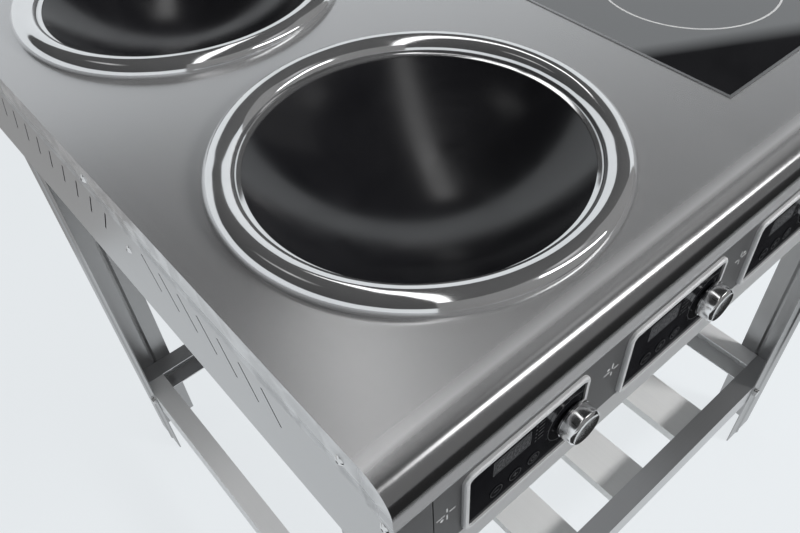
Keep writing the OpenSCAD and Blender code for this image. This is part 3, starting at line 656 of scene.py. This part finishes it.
class WOKRANGE_OT_cabinet(Operator):
    """Finishes the cabinet's panels and prints the zone marks on its fascia"""

    bl_idname = "wok_range.cabinet"
    bl_label = "Cabinet"

    def execute(self, context):
        look = context.scene.wok_range_finish
        side = brushed_steel("side_steel", look.light_steel, 0.36, (400, 3, 400), swing=0.05)
        dress(side, "side_panel_left", "side_panel_right")
        lip = brushed_steel("lip_steel", (0.62, 0.62, 0.62), 0.3, (3, 400, 400), swing=0.05, metallic=0.6)
        dress(lip, "front_lip")
        dress(brushed_steel("pan_steel", look.steel, 0.4, (3, 400, 400)), "bottom_pan", "rear_panel")
        fascia = brushed_steel("fascia_steel", look.dark_steel, 0.42, (5, 5, 600), swing=0.07, metallic=0.6)
        dress(fascia, "fascia_plate", "fascia_end_left", "fascia_end_right")
        face_y = low("fascia_plate")[1]
        pale = ink("fascia_print", look.print_colour)
        for number, corner in zip(PANELS, ((-1, -1), (-1, 1), (1, 1), (1, -1))):
            glass = f"panel_glass_{number}"
            place = face_plane(low(glass)[0] - 18.7 * MM, face_y, middle(glass)[2] + 9 * MM)
            print_marks(f"zone_mark_{number}", self.zone_mark(*corner), place, pale)
        return {"FINISHED"}

    def zone_mark(self, side_x, side_z):
        """Four arms round a gap, the two beside the panel's zone longer, and a dot in its quarter."""
        left, right = (10, 8) if side_x < 0 else (8, 10)
        below, above = (9, 7.5) if side_z < 0 else (7.5, 9)
        gap, width = 2.2, 1.3
        return [
            stroke((-left, 0), (-gap, 0), width), stroke((gap, 0), (right, 0), width),
            stroke((0, -below), (0, -gap), width), stroke((0, gap), (0, above), width),
            dot((side_x * 5, side_z * 4.6), 1.7),
        ]


class WOKRANGE_OT_wells(Operator):
    """Polishes the wok rings, glazes the bowls and winds the coils under them"""

    bl_idname = "wok_range.wells"
    bl_label = "Wok wells"

    def execute(self, context):
        look = context.scene.wok_range_finish
        polished = mirror_steel("ring_steel", look.mirror)
        glass = ceramic_glass("bowl_glass", look.glass, 1.6, 0.16, 0.24)
        rubber = moulded("seal_silicone", (0.02, 0.02, 0.021), 0.6)
        centres = [middle("wok_ring_front"), middle("wok_ring_rear")]
        seals = []
        for end, centre in zip(("front", "rear"), centres):
            face = (centre[0], centre[1], high("top_plate")[2])
            ring = turned_piece(f"ring_{end}_rolled", self.ring_profile(end), face, 192, 40, True)
            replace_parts(give(ring, polished, "range_body"), f"wok_ring_{end}")
            bowl = turned_piece(f"bowl_{end}_blown", self.bowl_profile(), face, 160, 40, True)
            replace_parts(give(bowl, glass, "range_body"), f"wok_bowl_{end}")
            seals.append(turned_piece(f"seal_{end}_pressed", self.seal_profile(), face, 96, 40, True))
            give(seals[-1], rubber, "range_body")
        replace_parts(seals[0], "bowl_seals")
        dress(wound_copper("wok_coil_wire", centres, 0.0048), "wok_coils")
        dress(moulded("carrier_plastic", (0.025, 0.025, 0.027), 0.5), "wok_coil_carriers")
        return {"FINISHED"}

    def ring_profile(self, end):
        """The bead's half circle c + b (cos t, sin t), the short lip that slopes in to the glass,
        and the flat foot."""
        outside = (high(f"wok_ring_{end}")[0] - low(f"wok_ring_{end}")[0]) / 2 / MM
        turn = np.radians(np.linspace(0, 174.5, 60))
        bead = np.stack([outside - BEAD + BEAD * np.cos(turn), BEAD * np.sin(turn)], axis=-1)
        lip = [(WELL + 1.2, 0.75), (WELL, 0.4), (WELL, -1.1), (WELL + 4, -1.1), (WELL + 5, 0), (outside, 0)]
        return np.concatenate([bead, lip])

    def bowl_profile(self):
        """Two spherical caps (s sin t, h - s cos t), one in the other, joined at the rim under the
        ring's lip."""
        rim, depth = WELL + 0.4, -1.15
        caps = []
        height = depth + math.sqrt(BOWL ** 2 - rim ** 2)
        for sphere, edge in ((BOWL, rim), (BOWL + 2.5, rim + 1.2)):
            turn = np.linspace(0, math.asin(edge / sphere), 64)
            caps.append(np.stack([sphere * np.sin(turn), height - sphere * np.cos(turn)], axis=-1))
        return np.concatenate([caps[0], caps[1][::-1]])

    def seal_profile(self):
        """A flat band round the glass, inside the hole in the worktop."""
        inner, outer, above, below = WELL + 0.3, WELL + 1.5, -3.4, -7
        return [(inner, above), (outer, above), (outer, below), (inner, below), (inner, above)]


def hob_coil_centres():
    """Middles of the front and the rear flat coil, which share a node."""
    mesh = NODES["hob_coils"].data
    spots = np.empty(len(mesh.vertices) * 3, np.float32)
    mesh.vertices.foreach_get("co", spots)
    depth = spots.reshape(-1, 3)[:, 1]
    split = middle("hob_coils")
    parts = (depth[depth < split[1]], depth[depth > split[1]])
    return [(split[0], (part.min() + part.max()) / 2, 0) for part in parts]


class WOKRANGE_OT_hob(Operator):
    """Glazes the flat hob, prints its zone circles and winds its coils"""

    bl_idname = "wok_range.hob"
    bl_label = "Flat hob"

    def execute(self, context):
        look = context.scene.wok_range_finish
        sizes = context.scene.wok_range_marks
        dress(ceramic_glass("hob_glass", look.glass, 2.4, 0.01, 0.025), "hob_glass")
        dress(brushed_steel("trim_steel", look.light_steel, 0.3, (5, 400, 400)), "hob_trim")
        centres = hob_coil_centres()
        circle = arc((0, 0), sizes.zone_radius / MM, sizes.zone_line / MM, pieces=160)
        for end, centre in zip(("front", "rear"), centres):
            place = face_plane(centre[0], centre[1], high("hob_glass")[2], level=True)
            print_marks(f"zone_circle_{end}", [circle], place, ink(f"zone_print_{end}", look.print_colour))
        dress(wound_copper("hob_coil_wire", centres, 0.0045), "hob_coils")
        dress(moulded("hob_carrier_plastic", (0.03, 0.03, 0.032), 0.5), "hob_coil_carriers")
        return {"FINISHED"}


class WOKRANGE_OT_panels(Operator):
    """Finishes the control panels and prints displays, lamps and dials on their glass"""

    bl_idname = "wok_range.panels"
    bl_label = "Control panels"

    # Marks on the glass, in mm from its left edge and its middle line
    WINDOW = (25, 9, 63, 27.5)
    FIGURE_PITCH = 8.7
    LAMP_PITCH = 5.2

    def execute(self, context):
        look = context.scene.wok_range_finish
        reach = context.scene.wok_range_marks.dial_radius / MM
        dress(moulded("bezel_silver", look.bezel, 0.33, relief=0.05, metallic=0.3), "panel_bezels")
        dress(ceramic_glass("panel_black_glass", look.glass, 1.15), *[f"panel_glass_{n}" for n in PANELS])
        grey = ink("panel_print", look.dim_print)
        smoke = ink("display_window", (0.016, 0.016, 0.018), 0.25)
        bright = ink("display_figures", (0.06, 0.06, 0.063))
        left, below, right, above = self.WINDOW
        window = np.array([[(left, below), (right, below), (right, above), (left, above)]], float)
        for number in PANELS:
            glass = f"panel_glass_{number}"
            place = face_plane(low(glass)[0], low(glass)[1], middle(glass)[2])
            print_marks(f"display_window_{number}", [window], place, smoke, proud=0.03)
            print_marks(f"display_figures_{number}", self.figures(), place, bright, proud=0.06)
            axis = (middle(f"knob_{number}")[0] - low(glass)[0]) / MM
            edge = (high(glass)[0] - low(glass)[0]) / MM
            print_marks(f"dial_print_{number}", self.lamps() + self.dial(axis, edge, reach), place, grey)
        return {"FINISHED"}

    def figures(self):
        """Four figures with their points, and a thin border round the window."""
        left, below, right, above = self.WINDOW
        steps = [self.FIGURE_PITCH * k for k in range(4)]
        bars = [figure_eight(28.5 + step, 12.5, 5.2, 11, 1.1, 0.09) for step in steps]
        points = [dot((35.4 + step, 12.3), 0.55) for step in steps]
        border = [
            stroke((left - 0.4, below), (right + 0.4, below), 0.5),
            stroke((right + 0.2, below), (right + 0.2, above), 0.5),
            stroke((right + 0.4, above), (left - 0.4, above), 0.5),
            stroke((left - 0.2, above), (left - 0.2, below), 0.5),
        ]
        return bars + points + border

    def lamps(self):
        """A column of five lamps, each with a bar beside it."""
        marks = []
        for row in range(5):
            height = 7 + self.LAMP_PITCH * row
            marks += [dot((69, height), 0.9), stroke((71.5, height), (77.5, height), 0.9)]
        return marks

    def dial(self, axis, edge, reach):
        """An arc round the knob, open where it would pass the glass's edge, and ten ticks outside it."""
        open_angle = math.degrees(math.acos((edge - 0.6 - axis) / reach))
        marks = [arc((axis, 0), reach, 0.7, open_angle, 360 - open_angle, 64)]
        for turn in np.radians(np.linspace(open_angle + 6, 354 - open_angle, 10)):
            ray = np.array([math.cos(turn), math.sin(turn)])
            start, end = (ray * (reach + out) + (axis, 0) for out in (0.8, 2.4))
            marks.append(stroke(start, end, 0.6))
        return marks


class WOKRANGE_OT_knobs(Operator):
    """Turns the four knobs, each with its pointer line"""

    bl_idname = "wok_range.knobs"
    bl_label = "Knobs"

    # Sizes in mm and degrees
    SLIMMER = 1.0
    TAPER = 0.7
    LENGTH = 15.0
    POINTER_ANGLE = 128
    POINTER_HALF = 0.45

    def execute(self, context):
        paint = ink("pointer_paint", (0.02, 0.02, 0.02))
        for number in PANELS:
            node = f"knob_{number}"
            first, last, axis = low(node), high(node), middle(node)
            start = np.array([axis[0], first[1], axis[2]])
            base = (last[0] - first[0]) / 2 / MM - self.SLIMMER
            centre = (axis[0], 0, axis[2])
            finish = turned_metal(f"knob_metal_{number}", (0.86, 0.86, 0.865), centre, 0.15, 0.5)
            profile = self.knob_profile(base, (last[1] - first[1]) / MM)
            knob = turned_piece(f"{node}_turned", profile, start, turns=128)
            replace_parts(give(knob, finish, node), node)
            give(self.pointer(f"pointer_{number}", start, base - self.TAPER), paint, node)
        return {"FINISHED"}

    def knob_profile(self, base, end):
        """The dished face and its rounded rim, the slightly tapered side, a groove, and the spindle."""
        radius, length = base - self.TAPER, self.LENGTH
        return [
            (0, 0.9), (6, 0.88), (11, 0.75), (radius - 3.0, 0.4), (radius - 2.5, 0.05),
            (radius - 2.1, 0.0), (radius - 1.8, 0.15), (radius - 0.45, 1.75), (radius - 0.12, 2.15),
            (radius, 2.8), (base - 0.1, 11.8), (base - 0.4, 12.1), (base - 0.4, 12.7), (base, 13.0),
            (base, length - 0.5), (base - 0.5, length), (3, length), (3, end), (0, end),
        ]

    def pointer(self, name, start, radius):
        """A bar let into the side: the box of start + r o + w c at depths d, with o and c the ways out
        and across at the pointer's angle, and r, w and d each at its two ends."""
        turn = math.radians(self.POINTER_ANGLE)
        out = np.array([math.cos(turn), math.sin(turn)])
        across = np.array([-out[1], out[0]]) * self.POINTER_HALF
        corners = []
        for reach in (radius - 0.6, radius + 0.32):
            for depth in (2.8, 8.5):
                for side in (-1, 1):
                    flat = (out * reach + across * side) * MM
                    corners.append(start + (flat[0], depth * MM, flat[1]))
        faces = [[0, 1, 3, 2], [4, 6, 7, 5], [0, 4, 5, 1], [2, 3, 7, 6], [0, 2, 6, 4], [1, 5, 7, 3]]
        return close_up(make_mesh(name, np.array(corners), np.array(faces), False))


class WOKRANGE_OT_buttons(Operator):
    """Finishes the twelve buttons and prints their marks"""

    bl_idname = "wok_range.buttons"
    bl_label = "Buttons"

    def execute(self, context):
        look = context.scene.wok_range_finish
        cap = ceramic_glass("button_glass", look.glass, 1.15)
        grey = ink("button_print", look.dim_print)
        bar = stroke((-2.6, 0), (2.6, 0), 1.0)
        marks = {
            "minus": [bar],
            "plus": [bar, stroke((0, 0.5), (0, 2.6), 1.0), stroke((0, -2.6), (0, -0.5), 1.0)],
            "timer": [
                arc((0, 0), 2.9, 0.7, pieces=24), stroke((0, 0), (0, 2.0), 0.7),
                stroke((0, 0), (1.5, 0), 0.7)],
        }
        rim = arc((0, 0), 6.1, 0.6, pieces=40)
        for number in PANELS:
            for kind in BUTTONS:
                node = f"{kind}_button_{number}"
                dress(cap, node)
                place = face_plane(middle(node)[0], low(node)[1], middle(node)[2])
                print_marks(f"{kind}_mark_{number}", [rim] + marks[kind], place, grey, node)
        return {"FINISHED"}


class WOKRANGE_OT_electronics(Operator):
    """Finishes the boards, power modules, fans and mains parts inside"""

    bl_idname = "wok_range.electronics"
    bl_label = "Electronics"

    def execute(self, context):
        board = circuit_board("green_board", (0.02, 0.13, 0.06))
        aluminium = brushed_steel("sink_aluminium", (0.68, 0.69, 0.7), 0.38, (300, 4, 300))
        sleeve = moulded("capacitor_sleeve", (0.02, 0.025, 0.05), 0.35)
        ferrite = moulded("choke_core", (0.05, 0.045, 0.045), 0.55)
        black = moulded("part_plastic", (0.02, 0.02, 0.022), 0.45)
        finishes = [board, aluminium, sleeve, ferrite]
        repaint("generator_modules", finishes, self.module_part)
        repaint("control_boards", [board, black], self.control_part)
        dress(black, "fan_frames", "cable_gland")
        dress(moulded("rotor_plastic", (0.42, 0.42, 0.43), 0.45), "fan_rotor_front", "fan_rotor_rear")
        dress(moulded("terminal_plastic", (0.5, 0.49, 0.46), 0.5), "terminal_block")
        return {"FINISHED"}

    def module_part(self, spots):
        """0 board, 1 sink, 2 capacitor, 3 choke, by height and place on the module."""
        wells = [middle("wok_ring_front"), middle("wok_ring_rear")]
        left = spots[:, 0] < middle("generator_modules")[0]
        centre_x = np.where(left, wells[0][0], high("generator_modules")[0] - 75 * MM)
        across = spots[:, 0] - centre_x
        raised = spots[:, 2] > low("generator_modules")[2] + 15.2 * MM
        choice = np.zeros(len(spots))
        choice[raised & (across < 21 * MM)] = 1
        choice[raised & (across > 21 * MM)] = 2
        middles = np.array([centre[1] for centre in wells + hob_coil_centres()])
        behind = spots[:, 1][:, None] - middles
        near = [np.where(abs(behind[:, k]) < 125 * MM, behind[:, k], behind[:, k + 1]) for k in (0, 2)]
        choice[raised & (across < 0) & (np.where(left, *near) > 50 * MM)] = 3
        return choice

    def control_part(self, spots):
        """0 board, 1 the parts that stand on its front."""
        return (spots[:, 1] < high("control_boards")[1] - 1.7 * MM).astype(int)


class WOKRANGE_OT_stand(Operator):
    """Finishes the legs, rails, shelf slats and bolts"""

    bl_idname = "wok_range.stand"
    bl_label = "Stand"

    def execute(self, context):
        look = context.scene.wok_range_finish
        upright = brushed_steel("leg_steel", (0.37, 0.37, 0.372), 0.34, (400, 400, 3), haze_scale=4.0)
        dress(upright, "leg_front_left", "leg_front_right", "leg_rear_left", "leg_rear_right")
        cross = brushed_steel("cross_rail_steel", look.steel, 0.34, (3, 400, 400), metallic=0.9)
        dress(cross, "rail_front", "rail_rear")
        side = brushed_steel("side_rail_steel", (0.72, 0.72, 0.72), 0.36, (400, 3, 400), metallic=0.25)
        dress(side, "rail_left", "rail_right")
        slat = brushed_steel("slat_steel", (0.86, 0.86, 0.85), 0.45, (400, 3, 400), metallic=0.2)
        dress(slat, "shelf_slats")
        dress(plated_metal("bolt_zinc", (0.6, 0.6, 0.6), 0.28), "stand_bolts")
        return {"FINISHED"}


# The stage in metres: the range's upper middle, and the ways of the camera and the ceiling strip
RANGE_MIDDLE = np.array([-0.2, -0.19, 0.85])
CAMERA_RIGHT = (0.7512, -0.6592, -0.0339)
CAMERA_UP = (0.5019, 0.5371, 0.6780)
CAMERA_BACK = (-0.4287, -0.5263, 0.7343)
STRIP_WAY = np.array([0.4848, 0.8746, 0])
FLAT_CARD = np.array([[0, 1, 2, 3]])


def stand_at(holder, right, up, back, place):
    """Turns and places a lamp or the camera by its own three ways."""
    rows = np.eye(4)
    for column, way in enumerate((right, up, back, place)):
        rows[:3, column] = way
    holder.matrix_world = Matrix(rows.tolist())
    bpy.context.scene.collection.objects.link(holder)


def strip_lamp(name, start, end, width, radiance, glossy=True):
    """A long area lamp between two points that shines at the range."""
    start, end = np.asarray(start, float), np.asarray(end, float)
    centre = (start + end) / 2
    along = (end - start) / np.linalg.norm(end - start)
    back = centre - RANGE_MIDDLE * (0, 0, 1)
    back -= along * (back @ along)
    back /= np.linalg.norm(back)
    lamp = bpy.data.lights.new(name, "AREA")
    lamp.shape = "RECTANGLE"
    lamp.size, lamp.size_y = float(np.linalg.norm(end - start)), width
    lamp.energy = radiance * math.pi * lamp.size * lamp.size_y
    holder = bpy.data.objects.new(name, lamp)
    stand_at(holder, along, np.cross(back, along), back, centre)
    holder.visible_camera = False
    holder.visible_glossy = glossy


def stage_card(name, points, faces, level, reach=None):
    """A card that only the reflections see, of one level or fading out within a reach of its middle."""
    card = make_mesh(name, points, faces, False)
    made, tree, surface, where = blank_material(name + "_level")
    strength = 1.0
    if reach:
        away = vector_sum(tree, "SUBTRACT", where, tuple(points.mean(axis=0))).outputs[0]
        strength = span(tree, vector_sum(tree, "LENGTH", away).outputs["Value"], 0.1, reach, 1, 0.04)
    glow = add(tree, "Emission", (level, level, level, 1), strength)
    tree.links.new(glow.outputs[0], surface)
    card.data.materials.append(made)
    for sight in ("camera", "diffuse", "shadow", "transmission", "volume_scatter"):
        setattr(card, "visible_" + sight, False)


class WOKRANGE_OT_stage(Operator):
    """Sets up the floor, the room, the lamps and the camera"""

    bl_idname = "wok_range.stage"
    bl_label = "Stage"

    def execute(self, context):
        scene = context.scene
        stage = scene.wok_range_stage
        self.make_floor(stage)
        self.make_cards()
        self.make_room(scene, stage)
        self.make_lamps(stage)
        self.make_camera(scene, stage)
        scene.view_settings.view_transform = "Standard"
        return {"FINISHED"}

    def make_floor(self, stage):
        """A pale disc that keeps a faint shadow: the rim's points are 30 (cos t, sin t, 0)."""
        turn = np.linspace(0, 2 * math.pi, 65)[:-1]
        rim = np.stack([np.cos(turn) * 30, np.sin(turn) * 30, 0 * turn], axis=-1)
        floor = make_mesh("floor", rim, np.arange(64)[None, :], False)
        made, tree, surface, where = blank_material("floor_paper")
        pale = shade(stage.backdrop, 1)
        matte = add(tree, "BsdfDiffuse", pale)
        glow = add(tree, "Emission", pale, 1.0)
        seen = tree.nodes.new("ShaderNodeLightPath")
        either = sum_up(tree, "MAXIMUM", seen.outputs["Is Camera Ray"], seen.outputs["Is Glossy Ray"])
        either = sum_up(tree, "MAXIMUM", either, seen.outputs["Is Transmission Ray"])
        share = sum_up(tree, "MULTIPLY", either, 0.9)
        tree.links.new(add(tree, "MixShader", share, matte.outputs[0], glow.outputs[0]).outputs[0], surface)
        floor.data.materials.append(made)

    def make_cards(self):
        """Two flat cards just above the floor, a round wall in front, r (sin t, cos t, h), and two soft
        panels whose corners stand at a bearing and a height in degrees from the range's middle."""
        for name, left, near, right, far, level in (
                ("dark_card", -1.6, -6.0, 4.5, -0.62, 0.03), ("grey_card", -4.0, 0.9, -0.47, 7.0, 0.45)):
            corners = [(left, near), (right, near), (right, far), (left, far)]
            stage_card(name, np.array([corner + (0.004,) for corner in corners]), FLAT_CARD, level)
        turn = np.radians(np.linspace(96, 215, 25))
        ring = np.stack([np.sin(turn) * 6.5, np.cos(turn) * 6.5, 0 * turn], axis=-1)
        wall = np.concatenate([ring, ring + (0, 0, 8.2)])
        step = np.arange(24)
        stage_card("front_wall", wall, np.stack([step, step + 1, step + 26, step + 25], axis=-1), 0.2)
        for name, bearings in (("left_panel", ((148, 45), (120, 37), (118, 48), (144, 54))),
                               ("right_panel", ((-76, 56), (-28, 41), (-26, 47), (-72, 62)))):
            turn, rise = np.radians(np.array(bearings, float)).T
            far = np.stack([np.sin(turn) * np.cos(rise), np.cos(turn) * np.cos(rise), np.sin(rise)], axis=-1)
            stage_card(name, far * 3.5 + RANGE_MIDDLE, FLAT_CARD, 0.6, 0.75)

    def make_room(self, scene, stage):
        """Pale walls up to an edge that a wall behind the range would have, and a dark ceiling."""
        world = bpy.data.worlds.new("studio_room")
        world.use_nodes = True
        scene.world = world
        tree = world.node_tree
        tree.nodes.clear()
        way = tree.nodes.new("ShaderNodeTexCoord").outputs["Generated"]
        height = add(tree, "SeparateXYZ", way).outputs[2]
        ahead = vector_sum(tree, "DOT_PRODUCT", way, (0.485 * 0.6935, 0.875 * 0.6935, 0)).outputs["Value"]
        squared = sum_up(tree, "MULTIPLY", height, height)
        flat = sum_up(tree, "SQRT", sum_up(tree, "SUBTRACT", 1.0, squared, clamp=True))
        edge = sum_up(tree, "MAXIMUM", ahead, sum_up(tree, "MULTIPLY", flat, 0.36))
        above = span(tree, sum_up(tree, "SUBTRACT", height, edge), -0.01, 0.01, 0, 1)
        colour = blend_colour(tree, above, shade(stage.backdrop, 1), shade(stage.ceiling, 1))
        back = add(tree, "Background", colour, 1.0)
        output = tree.nodes.new("ShaderNodeOutputWorld")
        tree.links.new(back.outputs[0], output.inputs["Surface"])

    def make_lamps(self, stage):
        """Two strip lights that the steel shows, and a soft and a square light that it doesn't."""
        over = RANGE_MIDDLE * (1, 1, 0) + (0, 0, 3.2)
        strip_lamp("ceiling_strip", over - STRIP_WAY * 2.1, over + STRIP_WAY * 2.2, 0.3, stage.strip_light)
        nose = np.array([-0.1, -0.42, 0.85])
        ahead, along = np.array([-0.401, -0.916, 0]), np.array([0.916, -0.401, 0])
        front = nose + ahead * 1.29 + (0, 0, 1.6)
        strip_lamp("front_strip", front + along * 1.2, front + along * 5.5, 0.35, stage.front_light)
        strip_lamp("soft_light", (-1.8, 0, 4.2), (1.8, 0, 4.2), 3.0, stage.soft_light, glossy=False)
        square, half = np.array([1.41, -2.29, 2.37]), np.array([0.829, 0.559, 0]) * 0.3
        strip_lamp("key_light", square - half, square + half, 0.6, stage.key_light, glossy=False)

    def make_camera(self, scene, stage):
        """The photograph's viewpoint."""
        lens = bpy.data.cameras.new("photo_camera")
        lens.lens = stage.camera_lens
        lens.sensor_width = 36.0
        lens.shift_x = -0.01875
        holder = bpy.data.objects.new("photo_camera", lens)
        stand_at(holder, CAMERA_RIGHT, CAMERA_UP, CAMERA_BACK, stage.camera_place)
        scene.camera = holder


class WOKRANGE_PT_sidebar(Panel):
    """Lists the range's steps in the sidebar"""

    bl_idname = "WOKRANGE_PT_sidebar"
    bl_label = "Wok Range"
    bl_space_type = "VIEW_3D"
    bl_region_type = "UI"
    bl_category = "Wok Range"

    def draw(self, context):
        layout = self.layout
        scene = context.scene
        for settings in (scene.wok_range_finish, scene.wok_range_marks, scene.wok_range_stage):
            box = layout.box()
            for key in settings.__annotations__:
                box.prop(settings, key)
        for step in STEPS:
            layout.operator(step.bl_idname)


STEPS = (
    WOKRANGE_OT_worktop, WOKRANGE_OT_cabinet, WOKRANGE_OT_wells, WOKRANGE_OT_hob, WOKRANGE_OT_panels,
    WOKRANGE_OT_knobs, WOKRANGE_OT_buttons, WOKRANGE_OT_electronics, WOKRANGE_OT_stand, WOKRANGE_OT_stage,
)
CLASSES = (WokRangeFinish, WokRangeMarks, WokRangeStage) + STEPS + (WOKRANGE_PT_sidebar,)


def register():
    for made in CLASSES:
        bpy.utils.register_class(made)
    bpy.types.Scene.wok_range_finish = PointerProperty(type=WokRangeFinish)
    bpy.types.Scene.wok_range_marks = PointerProperty(type=WokRangeMarks)
    bpy.types.Scene.wok_range_stage = PointerProperty(type=WokRangeStage)


def unregister():
    del bpy.types.Scene.wok_range_stage
    del bpy.types.Scene.wok_range_marks
    del bpy.types.Scene.wok_range_finish
    for made in reversed(CLASSES):
        bpy.utils.unregister_class(made)


def main():
    """Runs every step in order."""
    register()
    bpy.ops.wok_range.worktop()
    bpy.ops.wok_range.cabinet()
    bpy.ops.wok_range.wells()
    bpy.ops.wok_range.hob()
    bpy.ops.wok_range.panels()
    bpy.ops.wok_range.knobs()
    bpy.ops.wok_range.buttons()
    bpy.ops.wok_range.electronics()
    bpy.ops.wok_range.stand()
    bpy.ops.wok_range.stage()


if __name__ == "__main__":
    main()
